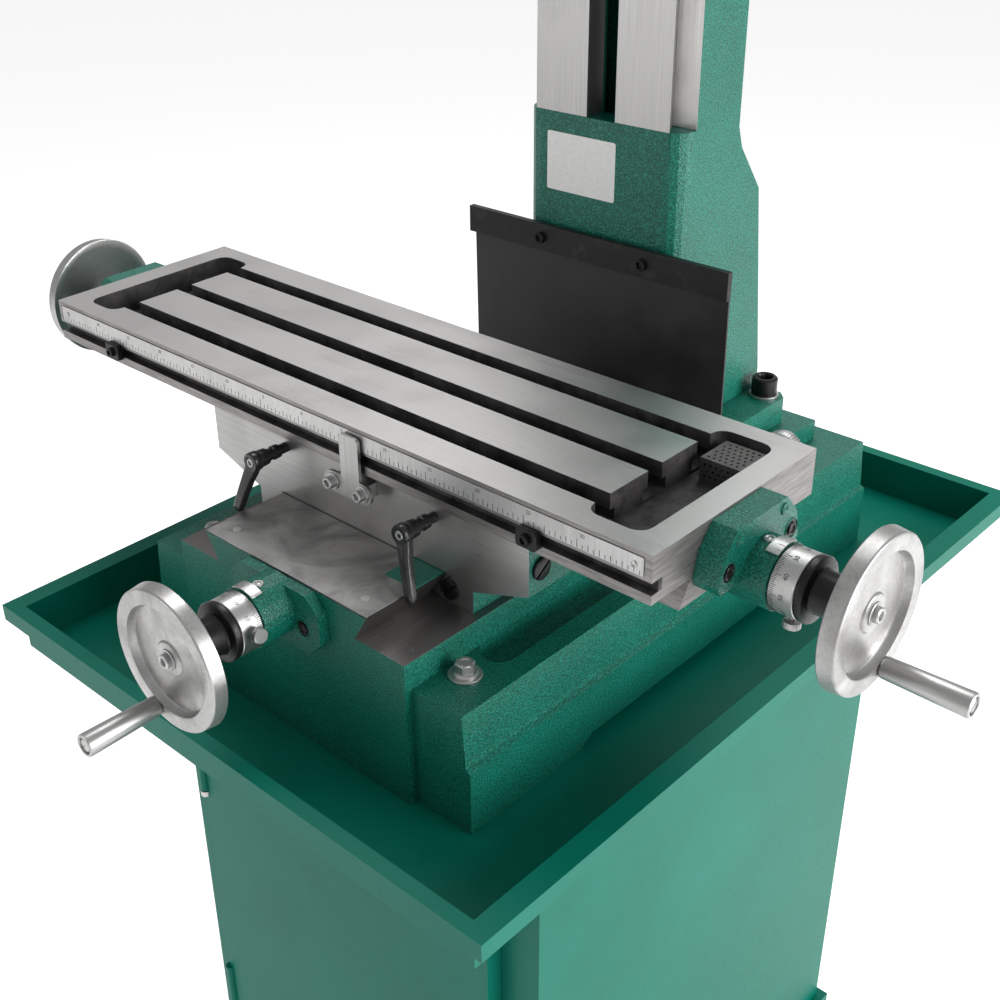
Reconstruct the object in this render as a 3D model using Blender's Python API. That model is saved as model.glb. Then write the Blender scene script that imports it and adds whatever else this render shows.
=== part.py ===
"""Vertical milling machine on a cabinet stand, built as separate named pieces.

All sizes below are millimetres.  The frame has its origin on the floor under the
middle of the stand, X to the right, Y to the back and Z up.
"""
import math

import bmesh
import bpy
from mathutils import Matrix, Vector

MM = 0.001
GAP = 0.3
ROUND = 24
FINE = 28

# Stand and chip tray
PLINTH_HALF = (250.0, 280.0)
PLINTH_TOP = 12.0
CABINET_HALF = (240.0, 270.0)
CABINET_TOP = 647.7
SHEET = 2.0
DOOR_OPENING = (190.0, 70.0, 570.0)
DOOR_LEFT, DOOR_RIGHT = -198.0, 198.0
DOOR_FRONT, DOOR_BACK = -288.0, -270.4
DOOR_BOTTOM, DOOR_TOP = 62.0, 578.0
TRAY_RIM_HALF = (308.0, 412.5)
TRAY_WALL_HALF = (288.5, 399.0)
TRAY_RIM_TOP = 692.8
TRAY_LIP_BOTTOM = 676.0
TRAY_FLOOR_TOP = 650.0

# Base casting and its ways
BASE_BOTTOM = 650.3
BASE_FRONT, BASE_BACK = -306.5, 293.0
BLOCK_FRONT, WAY_BACK = -314.5, 80.0
BLOCK_HALF = 140.0
SHOULDER_TOP = 762.0
WAY_TOP = 788.0
DOVETAIL_TOP = 813.0
DOVETAIL_ROOT_HALF = 85.5
PAD_TOP = 781.7
SLOPE = math.tan(math.radians(60.0))
FLANK_GAP = 0.46
GIB_SPACE = 7.4

# Y screw
Y_SCREW_Z = 789.3
Y_WHEEL_FACE = -435.5

# Saddle and table
SADDLE_HALF = 190.0
SADDLE_FRONT, SADDLE_BACK = -227.5, -37.5
SADDLE_TOP = 879.7
TABLE_X = -56.4
TABLE_HALF = 365.0
TABLE_FRONT, TABLE_BACK = -237.5, -27.5
TABLE_Y = -132.5
TABLE_TOP = 920.0
SLAB_BOTTOM = 880.0
NECK_HALF = 57.5
TABLE_DOVETAIL_LOW = 858.3
TROUGH_FLOOR = 838.0
SLOT_PITCH = 64.0
X_SCREW_Z = 871.5
X_WHEEL_FACE = 425.5
X_LEFT_FACE = -522.0
BRACKET_Y = -136.0

# Column
COLUMN_HALF = 88.0
COLUMN_FRONT = 90.0
COLUMN_TOP = 1700.0
SECTION_BOTTOM = 1085.0
Z_SCREW_Y = 140.0
CRANK_Z = 1750.0
COLUMN_TIP_HALF = 75.0
COLUMN_ROOT_Y = 112.0

# Head
CARRIAGE_BOTTOM, CARRIAGE_TOP = 1450.0, 1670.0
TILT_Z = 1560.0
SPINDLE_Y = -130.0
MOTOR_Y = -42.0
HEAD_BOTTOM, HEAD_TOP = 1420.0, 1640.0
FEED_Y, FEED_Z = -78.5, 1480.0
WHEEL_RADIUS = 61.3
GRIP_RADIUS = 10.0


def clear_scene():
    for item in list(bpy.data.objects):
        bpy.data.objects.remove(item, do_unlink=True)


def add_object(name, mesh_builder):
    bmesh.ops.recalc_face_normals(mesh_builder, faces=mesh_builder.faces)
    mesh = bpy.data.meshes.new(name)
    mesh_builder.to_mesh(mesh)
    mesh_builder.free()
    item = bpy.data.objects.new(name, mesh)
    bpy.context.collection.objects.link(item)
    return item


def place(axis, along, first, second):
    """Point with one coordinate along the axis and two across it."""
    if axis == "x":
        return Vector((along, first, second)) * MM
    if axis == "y":
        return Vector((first, along, second)) * MM
    return Vector((first, second, along)) * MM


def prism(name, outline, axis, start, end):
    """Closed outline of two coordinates, drawn out along an axis."""
    builder = bmesh.new()
    near = [builder.verts.new(place(axis, start, a, b)) for a, b in outline]
    far = [builder.verts.new(place(axis, end, a, b)) for a, b in outline]
    builder.faces.new(near)
    builder.faces.new(list(reversed(far)))
    count = len(outline)
    for index in range(count):
        following = (index + 1) % count
        builder.faces.new((near[index], near[following], far[following], far[index]))
    return add_object(name, builder)


def box(name, low, high):
    outline = [(low[0], low[1]), (high[0], low[1]), (high[0], high[1]), (low[0], high[1])]
    return prism(name, outline, "z", low[2], high[2])


def lathe(name, profile, axis, centre, segments=ROUND):
    """Closed profile of (along, radius) turned about an axis through the centre."""
    builder = bmesh.new()
    rings = []
    for along, radius in profile:
        if radius < 0.001:
            rings.append([builder.verts.new(place(axis, along, centre[0], centre[1]))])
            continue
        ring = []
        for step in range(segments):
            angle = 2.0 * math.pi * step / segments
            first = centre[0] + radius * math.cos(angle)
            second = centre[1] + radius * math.sin(angle)
            ring.append(builder.verts.new(place(axis, along, first, second)))
        rings.append(ring)
    for index, ring in enumerate(rings):
        other = rings[(index + 1) % len(rings)]
        if len(ring) == 1 and len(other) == 1:
            continue
        for step in range(segments):
            following = (step + 1) % segments
            corners = [ring[step % len(ring)], ring[following % len(ring)]]
            corners += [other[following % len(other)], other[step % len(other)]]
            unique = list(dict.fromkeys(corners))
            builder.faces.new(unique)
    return add_object(name, builder)


def rod(name, axis, centre, start, end, radius, segments=ROUND):
    profile = [(start, 0.0), (start, radius), (end, radius), (end, 0.0)]
    return lathe(name, profile, axis, centre, segments)


def ring(name, axis, centre, start, end, inner, outer, segments=ROUND):
    profile = [(start, inner), (start, outer), (end, outer), (end, inner)]
    return lathe(name, profile, axis, centre, segments)


def combine(target, tool, operation):
    modifier = target.modifiers.new("work", "BOOLEAN")
    modifier.operation = operation
    modifier.solver = "EXACT"
    modifier.object = tool
    graph = bpy.context.evaluated_depsgraph_get()
    result = bpy.data.meshes.new_from_object(target.evaluated_get(graph))
    target.modifiers.clear()
    target.data = result
    bpy.data.objects.remove(tool, do_unlink=True)
    return target


def unite(target, *tools):
    for tool in tools:
        combine(target, tool, "UNION")
    return target


def cut(target, *tools):
    for tool in tools:
        combine(target, tool, "DIFFERENCE")
    return target


def set_pivot(item, pivot):
    """Puts the object's origin on its joint axis without moving its shape."""
    point = Vector(pivot) * MM
    item.data.transform(Matrix.Translation(-point))
    item.location = point
    return item


def rounded_outline(low, high, radius, steps=4):
    """Rectangle outline with four rounded corners."""
    corners = [
        (high[0] - radius, high[1] - radius, 0.0),
        (low[0] + radius, high[1] - radius, 90.0),
        (low[0] + radius, low[1] + radius, 180.0),
        (high[0] - radius, low[1] + radius, 270.0),
    ]
    outline = []
    for centre_a, centre_b, start in corners:
        for step in range(steps + 1):
            angle = math.radians(start + 90.0 * step / steps)
            outline.append((centre_a + radius * math.cos(angle), centre_b + radius * math.sin(angle)))
    return outline


def chamfered_outline(low, high, size):
    """Rectangle outline with four flat cut corners."""
    return [
        (low[0] + size, low[1]), (high[0] - size, low[1]),
        (high[0], low[1] + size), (high[0], high[1] - size),
        (high[0] - size, high[1]), (low[0] + size, high[1]),
        (low[0], high[1] - size), (low[0], low[1] + size),
    ]


# ---------------------------------------------------------------- stand

def build_plinth():
    half_x, half_y = PLINTH_HALF
    plate = box("stand_plinth", (-half_x, -half_y, 0.0), (half_x, half_y, PLINTH_TOP))
    for side in (-1, 1):
        for end in (-1, 1):
            cut(plate, rod("bolt_hole", "z", (side * 215.0, end * 245.0), -5.0, 20.0, 7.0, 16))
    return plate


def build_cabinet():
    half_x, half_y = CABINET_HALF
    bottom = PLINTH_TOP + GAP
    shell = box("stand_cabinet", (-half_x, -half_y, bottom), (half_x, half_y, CABINET_TOP))
    inside_low = (-half_x + SHEET, -half_y + SHEET, 0.0)
    inside_high = (half_x - SHEET, half_y - SHEET, CABINET_TOP - SHEET)
    cut(shell, box("inside", inside_low, inside_high))
    half, low, high = DOOR_OPENING
    cut(shell, box("doorway", (-half, -half_y - 10.0, low), (half, -half_y + 10.0, high)))
    return shell


def build_door():
    door = box("stand_door", (DOOR_LEFT, DOOR_FRONT, DOOR_BOTTOM), (DOOR_RIGHT, DOOR_BACK, DOOR_TOP))
    hollow_low = (DOOR_LEFT + SHEET, DOOR_FRONT + SHEET, DOOR_BOTTOM + SHEET)
    hollow_high = (DOOR_RIGHT - SHEET, DOOR_BACK + 10.0, DOOR_TOP - SHEET)
    cut(door, box("hollow", hollow_low, hollow_high))
    for low in (130.0, 450.0):
        unite(door, rod("knuckle", "z", (DOOR_LEFT, DOOR_FRONT), low, low + 60.0, 5.0, 16))
    return set_pivot(door, (DOOR_LEFT, DOOR_FRONT, 320.0))


def build_tray():
    wall_x, wall_y = TRAY_WALL_HALF
    rim_x, rim_y = TRAY_RIM_HALF
    floor = TRAY_FLOOR_TOP - SHEET
    outer_x, outer_y = wall_x + SHEET, wall_y + SHEET
    tray = box("chip_tray", (-rim_x, -rim_y, TRAY_LIP_BOTTOM), (rim_x, rim_y, TRAY_RIM_TOP))
    inner_x, inner_y = rim_x - SHEET, rim_y - SHEET
    under = box("under", (-inner_x, -inner_y, 600.0), (inner_x, inner_y, TRAY_RIM_TOP - SHEET))
    cut(tray, under)
    unite(tray, box("pan", (-outer_x, -outer_y, floor), (outer_x, outer_y, TRAY_RIM_TOP - 0.5)))
    cut(tray, box("well", (-wall_x, -wall_y, TRAY_FLOOR_TOP), (wall_x, wall_y, TRAY_RIM_TOP + 20.0)))
    return tray


# ---------------------------------------------------------------- base

def flank_half(root, root_z, z):
    """Half width of a dovetail that widens upward from its root."""
    return root + (z - root_z) / SLOPE


def build_base():
    shoulder = [
        (-200.0, BASE_BOTTOM), (200.0, BASE_BOTTOM), (200.0, 711.0), (195.5, 713.5),
        (192.0, SHOULDER_TOP), (-192.0, SHOULDER_TOP), (-195.5, 713.5), (-200.0, 711.0),
    ]
    base = prism("base_casting", shoulder, "y", BASE_FRONT, BASE_BACK)
    unite(base, box("block", (-BLOCK_HALF, BLOCK_FRONT, BASE_BOTTOM), (BLOCK_HALF, WAY_BACK, WAY_TOP)))
    top_half = flank_half(DOVETAIL_ROOT_HALF, WAY_TOP, DOVETAIL_TOP)
    root = DOVETAIL_ROOT_HALF
    dovetail = [
        (-root, WAY_TOP - 20.0), (root, WAY_TOP - 20.0), (root, WAY_TOP),
        (top_half, DOVETAIL_TOP), (-top_half, DOVETAIL_TOP), (-root, WAY_TOP),
    ]
    unite(base, prism("dovetail", dovetail, "y", BLOCK_FRONT, WAY_BACK))
    unite(base, box("pad", (-149.0, WAY_BACK - 10.0, 740.0), (149.0, 269.0, PAD_TOP)))
    cut(base, box("screw_channel", (-24.0, -290.0, 768.0), (24.0, 70.0, 830.0)))
    cut(base, rod("screw_hole", "y", (0.0, Y_SCREW_Z), -320.0, -280.0, 16.0, 24))
    cut(base, box("underside", (-120.0, -270.0, 600.0), (120.0, 240.0, 738.0)))
    for side in (-1, 1):
        low_x, high_x = sorted((side * 140.5, side * 172.0))
        pocket = rounded_outline((low_x, -240.0), (high_x, 190.0), 15.0)
        cut(base, prism("drain", pocket, "z", 748.0, 790.0))
    arch = [(-172.0, 640.0), (-172.0, 650.3), (-155.0, 661.0), (190.0, 661.0), (207.0, 650.3), (207.0, 640.0)]
    cut(base, prism("arch", arch, "x", -210.0, 210.0))
    return base


def build_way_cover():
    low = DOVETAIL_TOP + GAP
    return box("way_cover", (-99.5, -314.0, low), (99.5, -212.0, low + 1.2))


def build_y_bracket():
    outline = chamfered_outline((-55.0, 756.0), (55.0, 812.5), 15.0)
    bracket = prism("y_screw_bracket", outline, "y", -325.0, BLOCK_FRONT - GAP)
    unite(bracket, rod("barrel", "y", (0.0, Y_SCREW_Z), -356.0, -318.0, 27.0, FINE))
    cut(bracket, rod("bore", "y", (0.0, Y_SCREW_Z), -400.0, -300.0, 10.4, 24))
    return bracket


# ---------------------------------------------------------------- saddle

def build_saddle():
    half = SADDLE_HALF
    outline = [
        (-half, SADDLE_TOP), (-half, 829.0), (-132.0, 809.0), (-132.0, WAY_TOP + GAP),
        (132.0, WAY_TOP + GAP), (132.0, 809.0), (half, 829.0), (half, SADDLE_TOP),
    ]
    saddle = prism("saddle_casting", outline, "y", SADDLE_FRONT, SADDLE_BACK)
    ceiling = 815.2
    low = WAY_TOP - 10.0
    left_low = -flank_half(DOVETAIL_ROOT_HALF, WAY_TOP, low) - FLANK_GAP
    left_high = -flank_half(DOVETAIL_ROOT_HALF, WAY_TOP, ceiling) - FLANK_GAP
    channel = [
        (left_low, low), (-left_low + GIB_SPACE, low),
        (-left_high + GIB_SPACE, ceiling), (left_high, ceiling),
    ]
    cut(saddle, prism("way_channel", channel, "y", SADDLE_FRONT - 10.0, SADDLE_BACK + 10.0))
    cut(saddle, prism("table_channel", table_channel_outline(), "x", -half - 10.0, half + 10.0))
    trough_low = (-half - 10.0, TABLE_Y - 30.0, TROUGH_FLOOR)
    cut(saddle, box("screw_trough", trough_low, (half + 10.0, TABLE_Y + 30.0, 862.0)))
    return saddle


def table_channel_outline():
    """Female dovetail in the saddle's top, with room for the gib at the front."""
    floor = TABLE_DOVETAIL_LOW - 0.5
    high = SADDLE_TOP + 8.0
    wide = NECK_HALF + (SADDLE_TOP - floor) / SLOPE
    narrow = NECK_HALF + (SADDLE_TOP - high) / SLOPE
    return [
        (TABLE_Y - wide - GIB_SPACE, floor), (TABLE_Y + wide + FLANK_GAP, floor),
        (TABLE_Y + narrow + FLANK_GAP, high), (TABLE_Y - narrow - GIB_SPACE, high),
    ]


def build_y_gib():
    low, high = WAY_TOP + 0.8, DOVETAIL_TOP + 1.2
    at_low = flank_half(DOVETAIL_ROOT_HALF, WAY_TOP, low)
    at_high = flank_half(DOVETAIL_ROOT_HALF, WAY_TOP, high)
    near, far = FLANK_GAP, GIB_SPACE - FLANK_GAP
    outline = [(at_low + near, low), (at_low + far, low), (at_high + far, high), (at_high + near, high)]
    return prism("saddle_y_gib", outline, "y", SADDLE_FRONT + 1.0, SADDLE_BACK - 1.0)


def build_x_gib():
    low, high = TABLE_DOVETAIL_LOW + 0.3, SADDLE_TOP - 0.4
    at_low = TABLE_Y - NECK_HALF - (SADDLE_TOP - low) / SLOPE
    at_high = TABLE_Y - NECK_HALF - (SADDLE_TOP - high) / SLOPE
    near, far = FLANK_GAP, GIB_SPACE - FLANK_GAP
    outline = [(at_low - near, low), (at_high - near, high), (at_high - far, high), (at_low - far, low)]
    return prism("saddle_x_gib", outline, "x", -SADDLE_HALF + 1.0, SADDLE_HALF - 1.0)


def build_y_nut():
    nut = box("y_screw_nut", (-15.0, -130.0, 772.0), (15.0, -90.0, 814.9))
    return cut(nut, rod("bore", "y", (0.0, Y_SCREW_Z), -150.0, -70.0, 8.4, 24))


def build_x_nut():
    nut = box("x_screw_nut", (-25.0, TABLE_Y - 12.5, TROUGH_FLOOR + GAP), (25.0, TABLE_Y + 12.5, 883.0))
    return cut(nut, rod("bore", "x", (TABLE_Y, X_SCREW_Z), -40.0, 40.0, 10.3, 24))


def build_pointer():
    bar = prism("travel_pointer", rounded_outline((-22.5, 855.0), (34.5, 874.0), 9.4), "y", -243.0, -240.0)
    unite(bar, prism("tongue", rounded_outline((-1.0, 862.0), (21.0, 913.0), 4.0), "y", -243.0, -240.0))
    unite(bar, box("spacer", (-13.0, -241.5, 857.5), (25.0, SADDLE_FRONT - GAP, 870.0)))
    return bar


def build_clamp_lever(name, x, tip_x, tip_z):
    hub_z = 863.0
    lever = rod(name, "y", (x, hub_z), -268.0, -247.0, 8.5, 24)
    unite(lever, rod("stud", "y", (x, hub_z), -250.0, SADDLE_FRONT - GAP, 4.5, 16))
    reach = Vector((tip_x - x, tip_z - hub_z))
    direction = reach.normalized()
    side = Vector((-direction.y, direction.x))
    start = Vector((x, hub_z))
    end = start + reach
    outline = [start + side * 6.5, start - side * 6.5, end - side * 4.2, end + side * 4.2]
    unite(lever, prism("arm", [tuple(point) for point in outline], "y", -271.0, -261.0))
    return set_pivot(lever, (x, -252.0, hub_z))


# ---------------------------------------------------------------- table

def build_table():
    left, right = TABLE_X - TABLE_HALF, TABLE_X + TABLE_HALF
    table = box("table_casting", (left, TABLE_FRONT, SLAB_BOTTOM), (right, TABLE_BACK, TABLE_TOP))
    wide = NECK_HALF + (SADDLE_TOP - TABLE_DOVETAIL_LOW) / SLOPE
    male = [
        (TABLE_Y - wide, TABLE_DOVETAIL_LOW), (TABLE_Y + wide, TABLE_DOVETAIL_LOW),
        (TABLE_Y + NECK_HALF, SADDLE_TOP), (TABLE_Y + NECK_HALF, SLAB_BOTTOM + 5.0),
        (TABLE_Y - NECK_HALF, SLAB_BOTTOM + 5.0), (TABLE_Y - NECK_HALF, SADDLE_TOP),
    ]
    unite(table, prism("dovetail", male, "x", left, right))
    channel_low = (left - 5.0, TABLE_Y - 14.0, 830.0)
    cut(table, box("screw_channel", channel_low, (right + 5.0, TABLE_Y + 14.0, 885.0)))
    cut(table, box("front_groove", (left - 5.0, TABLE_FRONT - 5.0, 888.0), (right + 5.0, TABLE_FRONT + 8.0, 898.0)))
    for low_x, high_x in ((-340.0, -297.0), (290.0, 342.0)):
        trough = rounded_outline(
            (TABLE_X + low_x, TABLE_FRONT + 19.0), (TABLE_X + high_x, TABLE_FRONT + 191.0), 12.0
        )
        cut(table, prism("trough", trough, "z", 894.0, 940.0))
    for step in (-1, 0, 1):
        y = TABLE_Y + step * SLOT_PITCH
        section = [
            (y - 14.5, 896.0), (y + 14.5, 896.0), (y + 14.5, 906.0), (y + 9.0, 906.0),
            (y + 9.0, 940.0), (y - 9.0, 940.0), (y - 9.0, 906.0), (y - 14.5, 906.0),
        ]
        cut(table, prism("slot", section, "x", TABLE_X - 305.0, TABLE_X + 300.0))
    return table


def build_strainer():
    low = (TABLE_X + 300.0, TABLE_FRONT + 150.0, 894.3)
    high = (TABLE_X + 336.0, TABLE_FRONT + 186.0, 914.0)
    strainer = box("trough_strainer", low, high)
    hollow_low = (low[0] + 1.2, low[1] + 1.2, 880.0)
    return cut(strainer, box("hollow", hollow_low, (high[0] - 1.2, high[1] - 1.2, high[2] - 1.2)))


def build_table_scale():
    low = (TABLE_X - 358.0, TABLE_FRONT - 0.8, 901.0)
    return box("table_scale", low, (TABLE_X + 358.0, TABLE_FRONT - GAP, 916.0))


def build_x_bracket(name, side):
    """Bearing bracket on one end of the table; side is 1 on the right, -1 on the left."""
    def across(distance):
        return TABLE_X + side * distance

    near, far = sorted((across(TABLE_HALF + GAP), across(TABLE_HALF + 22.0)))
    half = ((49.0, 871.5), (52.0, 878.0), (48.0, 899.0), (35.0, 915.0), (32.0, 918.0))
    outline = [(BRACKET_Y + y, z) for y, z in half]
    outline += [(BRACKET_Y - y, z) for y, z in reversed(half)]
    bracket = prism(name, outline, "x", near, far)
    near, far = sorted((across(TABLE_HALF + 1.0), across(TABLE_HALF + 42.0)))
    unite(bracket, rod("barrel", "x", (TABLE_Y, X_SCREW_Z), near, far, 27.0, FINE))
    near, far = sorted((across(TABLE_HALF - 10.0), across(TABLE_HALF + 60.0)))
    cut(bracket, rod("bore", "x", (TABLE_Y, X_SCREW_Z), near, far, 10.4, 24))
    return bracket


# ---------------------------------------------------------------- wheels and screws

def wheel_profile(face, outward):
    """Dished handwheel: hub, thin web and broad rim, with its face at one plane."""
    def at(depth):
        return face - outward * depth

    return [
        (at(4.0), 8.3), (at(4.0), 16.0), (at(7.5), 19.0), (at(7.5), 46.0), (at(1.5), 48.0),
        (at(0.0), 49.0), (at(0.0), WHEEL_RADIUS - 1.5), (at(1.5), WHEEL_RADIUS),
        (at(13.0), WHEEL_RADIUS + 1.0), (at(14.0), WHEEL_RADIUS), (at(14.0), 50.0),
        (at(11.5), 46.0), (at(11.5), 18.0), (at(22.0), 12.0), (at(22.0), 8.3),
    ]


def grip_profile(face, outward, length):
    def at(distance):
        return face + outward * distance

    return [
        (at(0.4), 0.0), (at(0.4), 6.5), (at(2.0), 9.3), (at(length - 1.5), GRIP_RADIUS),
        (at(length), GRIP_RADIUS - 1.5), (at(length), 6.0), (at(length - 2.0), 5.5),
        (at(length - 2.0), 0.0),
    ]


def build_wheel(name, axis, centre, face, outward):
    return lathe(name, wheel_profile(face, outward), axis, centre, FINE)


def build_grip(name, axis, centre, face, outward, length=68.0):
    grip = lathe(name, grip_profile(face, outward, length), axis, centre, 20)
    pivot = tuple(place(axis, face, centre[0], centre[1]) / MM)
    return set_pivot(grip, pivot)


def build_dial_hub(name, axis, centre, start, outward, end):
    """Black clutch collar and hub between the dial and the wheel."""
    def at(distance):
        return start + outward * distance

    profile = [
        (at(0.0), 8.3), (at(0.0), 23.0), (at(1.5), 26.0), (at(7.0), 26.0), (at(8.5), 24.0),
        (at(8.5), 17.0), (end, 16.5), (end, 8.3),
    ]
    return lathe(name, profile, axis, centre, FINE)


def build_x_screw():
    right_end = X_WHEEL_FACE - 3.0
    left_end = X_LEFT_FACE + 3.0
    profile = [
        (left_end, 0.0), (left_end, 8.0), (TABLE_X - 407.0, 8.0), (TABLE_X - 407.0, 10.0),
        (TABLE_X + 407.0, 10.0), (TABLE_X + 407.0, 8.0), (right_end, 8.0), (right_end, 0.0),
    ]
    screw = lathe("x_leadscrew", profile, "x", (TABLE_Y, X_SCREW_Z), 24)
    return set_pivot(screw, (TABLE_X, TABLE_Y, X_SCREW_Z))


def build_y_screw():
    front = Y_WHEEL_FACE + 3.0
    profile = [
        (front, 0.0), (front, 8.0), (-357.0, 8.0), (-357.0, 10.0), (-292.0, 10.0),
        (-292.0, 8.0), (62.0, 8.0), (62.0, 0.0),
    ]
    screw = lathe("y_leadscrew", profile, "y", (0.0, Y_SCREW_Z), 24)
    return set_pivot(screw, (0.0, -100.0, Y_SCREW_Z))


def build_x_axis_drive():
    centre = (TABLE_Y, X_SCREW_Z)
    pivot = (TABLE_X, TABLE_Y, X_SCREW_Z)
    build_x_screw()
    dial = ring("x_dial", "x", centre, 351.3, 371.6, 8.3, 25.5, FINE)
    set_pivot(dial, pivot)
    set_pivot(build_dial_hub("x_clutch_hub", "x", centre, 371.9, 1, 403.2), pivot)
    set_pivot(build_wheel("x_wheel_right", "x", centre, X_WHEEL_FACE, 1), pivot)
    wheel = build_wheel("x_wheel_left", "x", centre, X_LEFT_FACE, -1)
    unite(wheel, ring("sleeve", "x", centre, X_LEFT_FACE + 21.0, -464.0, 8.3, 16.5, FINE))
    set_pivot(wheel, pivot)
    build_grip("x_grip_right", "x", (TABLE_Y + 16.4, X_SCREW_Z - 51.5), X_WHEEL_FACE, 1)
    build_grip("x_grip_left", "x", (TABLE_Y + 46.8, X_SCREW_Z - 27.0), X_LEFT_FACE, -1)


def build_y_axis_drive():
    centre = (0.0, Y_SCREW_Z)
    pivot = (0.0, -100.0, Y_SCREW_Z)
    build_y_screw()
    dial = ring("y_dial", "y", centre, -377.0, -356.4, 8.3, 25.5, FINE)
    cut(dial, rod("relief", "y", centre, -362.0, -350.0, 10.4, 24))
    set_pivot(dial, pivot)
    set_pivot(build_dial_hub("y_clutch_hub", "y", centre, -377.3, -1, -413.2), pivot)
    set_pivot(build_wheel("y_wheel", "y", centre, Y_WHEEL_FACE, -1), pivot)
    build_grip("y_grip", "y", (-18.5, Y_SCREW_Z - 50.7), Y_WHEEL_FACE, -1)


def build_z_axis_drive():
    centre = (Z_SCREW_Y, CRANK_Z)
    shaft_profile = [
        (8.0, 0.0), (8.0, 7.3), (21.0, 20.3), (24.0, 20.3), (24.0, 10.0), (96.0, 10.0),
        (96.0, 8.0), (136.0, 8.0), (136.0, 0.0),
    ]
    shaft = lathe("z_crank_shaft", shaft_profile, "x", centre, 24)
    set_pivot(shaft, (60.0, Z_SCREW_Y, CRANK_Z))
    wheel = build_wheel("z_wheel", "x", centre, 139.0, 1)
    set_pivot(wheel, (60.0, Z_SCREW_Y, CRANK_Z))
    build_grip("z_grip", "x", (Z_SCREW_Y + 27.0, CRANK_Z - 46.8), 139.0, 1)
    screw_profile = [
        (1096.0, 0.0), (1096.0, 10.0), (CRANK_Z - 24.0, 10.0), (CRANK_Z - 24.0, 20.3),
        (CRANK_Z - 21.0, 20.3), (CRANK_Z - 8.0, 7.3), (CRANK_Z - 8.0, 0.0),
    ]
    screw = lathe("z_leadscrew", screw_profile, "z", (0.0, Z_SCREW_Y), 24)
    set_pivot(screw, (0.0, Z_SCREW_Y, 1400.0))


# ---------------------------------------------------------------- column

def build_column():
    side_view = [
        (COLUMN_FRONT, 795.0), (250.0, 795.0), (250.0, 829.0), (222.0, 1024.0),
        (187.0, 1070.0), (180.0, 1090.0), (180.0, 1100.0), (COLUMN_FRONT, 1100.0),
    ]
    column = prism("column_casting", side_view, "x", -COLUMN_HALF, COLUMN_HALF)
    plan = rounded_outline((-COLUMN_HALF, COLUMN_FRONT), (COLUMN_HALF, 300.0), 18.0)
    combine(column, prism("plan", plan, "z", 700.0, 1200.0), "INTERSECT")
    foot = chamfered_outline((-126.0, 84.0), (126.0, 250.0), 9.0)
    unite(column, prism("foot", foot, "z", PAD_TOP + GAP, 810.0))
    tip = COLUMN_TIP_HALF
    root = tip - (COLUMN_ROOT_Y - COLUMN_FRONT) / SLOPE
    section = [
        (-COLUMN_HALF, 180.0), (-COLUMN_HALF, COLUMN_ROOT_Y), (-root, COLUMN_ROOT_Y),
        (-tip, COLUMN_FRONT), (tip, COLUMN_FRONT), (root, COLUMN_ROOT_Y),
        (COLUMN_HALF, COLUMN_ROOT_Y), (COLUMN_HALF, 180.0),
    ]
    unite(column, prism("ways", section, "z", SECTION_BOTTOM, COLUMN_TOP))
    cut(column, box("bore", (-50.0, 116.0, 1030.0), (50.0, 166.0, COLUMN_TOP + 20.0)))
    cut(column, box("foot_bore", (-68.0, 108.0, 700.0), (68.0, 200.0, 1040.0)))
    cut(column, box("front_slot", (-16.0, 60.0, 1100.0), (16.0, 130.0, COLUMN_TOP + 20.0)))
    return column


def build_z_gearbox():
    low = (-60.0, 102.0, COLUMN_TOP + GAP)
    housing = box("z_gearbox", low, (COLUMN_HALF, 180.0, 1790.0))
    cut(housing, box("inside", (-50.0, 112.0, 1650.0), (76.0, 170.0, 1780.0)))
    cut(housing, rod("bore", "x", (Z_SCREW_Y, CRANK_Z), 60.0, 100.0, 10.4, 24))
    return housing


def build_guard():
    bar = box("guard_bar", (-152.0, 79.0, 968.0), (152.0, 85.0, 994.0))
    outline = [(85.3, 988.0), (87.3, 988.0), (89.4, 850.0), (87.4, 850.0)]
    sheet = prism("guard_sheet", outline, "x", -150.0, 150.0)
    return bar, sheet


# ---------------------------------------------------------------- head

def column_flank(offset, y):
    """X of the column's dovetail flank at depth y, moved out by an offset."""
    return COLUMN_TIP_HALF - (y - COLUMN_FRONT) / SLOPE + offset


def build_carriage():
    carriage = box("head_carriage", (-105.0, 30.0, CARRIAGE_BOTTOM), (105.0, COLUMN_ROOT_Y - GAP, CARRIAGE_TOP))
    front, back = COLUMN_FRONT - GAP, COLUMN_ROOT_Y + 8.0
    channel = [
        (-column_flank(FLANK_GAP, front), front), (column_flank(GIB_SPACE, front), front),
        (column_flank(GIB_SPACE, back), back), (-column_flank(FLANK_GAP, back), back),
    ]
    cut(carriage, prism("channel", channel, "z", CARRIAGE_BOTTOM - 10.0, CARRIAGE_TOP + 10.0))
    return carriage


def build_z_gib():
    front, back = COLUMN_FRONT + 0.4, COLUMN_ROOT_Y - 0.7
    near, far = FLANK_GAP, GIB_SPACE - FLANK_GAP
    outline = [
        (column_flank(near, front), front), (column_flank(far, front), front),
        (column_flank(far, back), back), (column_flank(near, back), back),
    ]
    return prism("carriage_gib", outline, "z", CARRIAGE_BOTTOM + 1.0, CARRIAGE_TOP - 1.0)


def build_z_nut():
    nut = box("z_screw_nut", (-15.0, COLUMN_FRONT, 1500.0), (15.0, 156.0, 1550.0))
    return cut(nut, rod("bore", "z", (0.0, Z_SCREW_Y), 1480.0, 1570.0, 10.4, 24))


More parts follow.
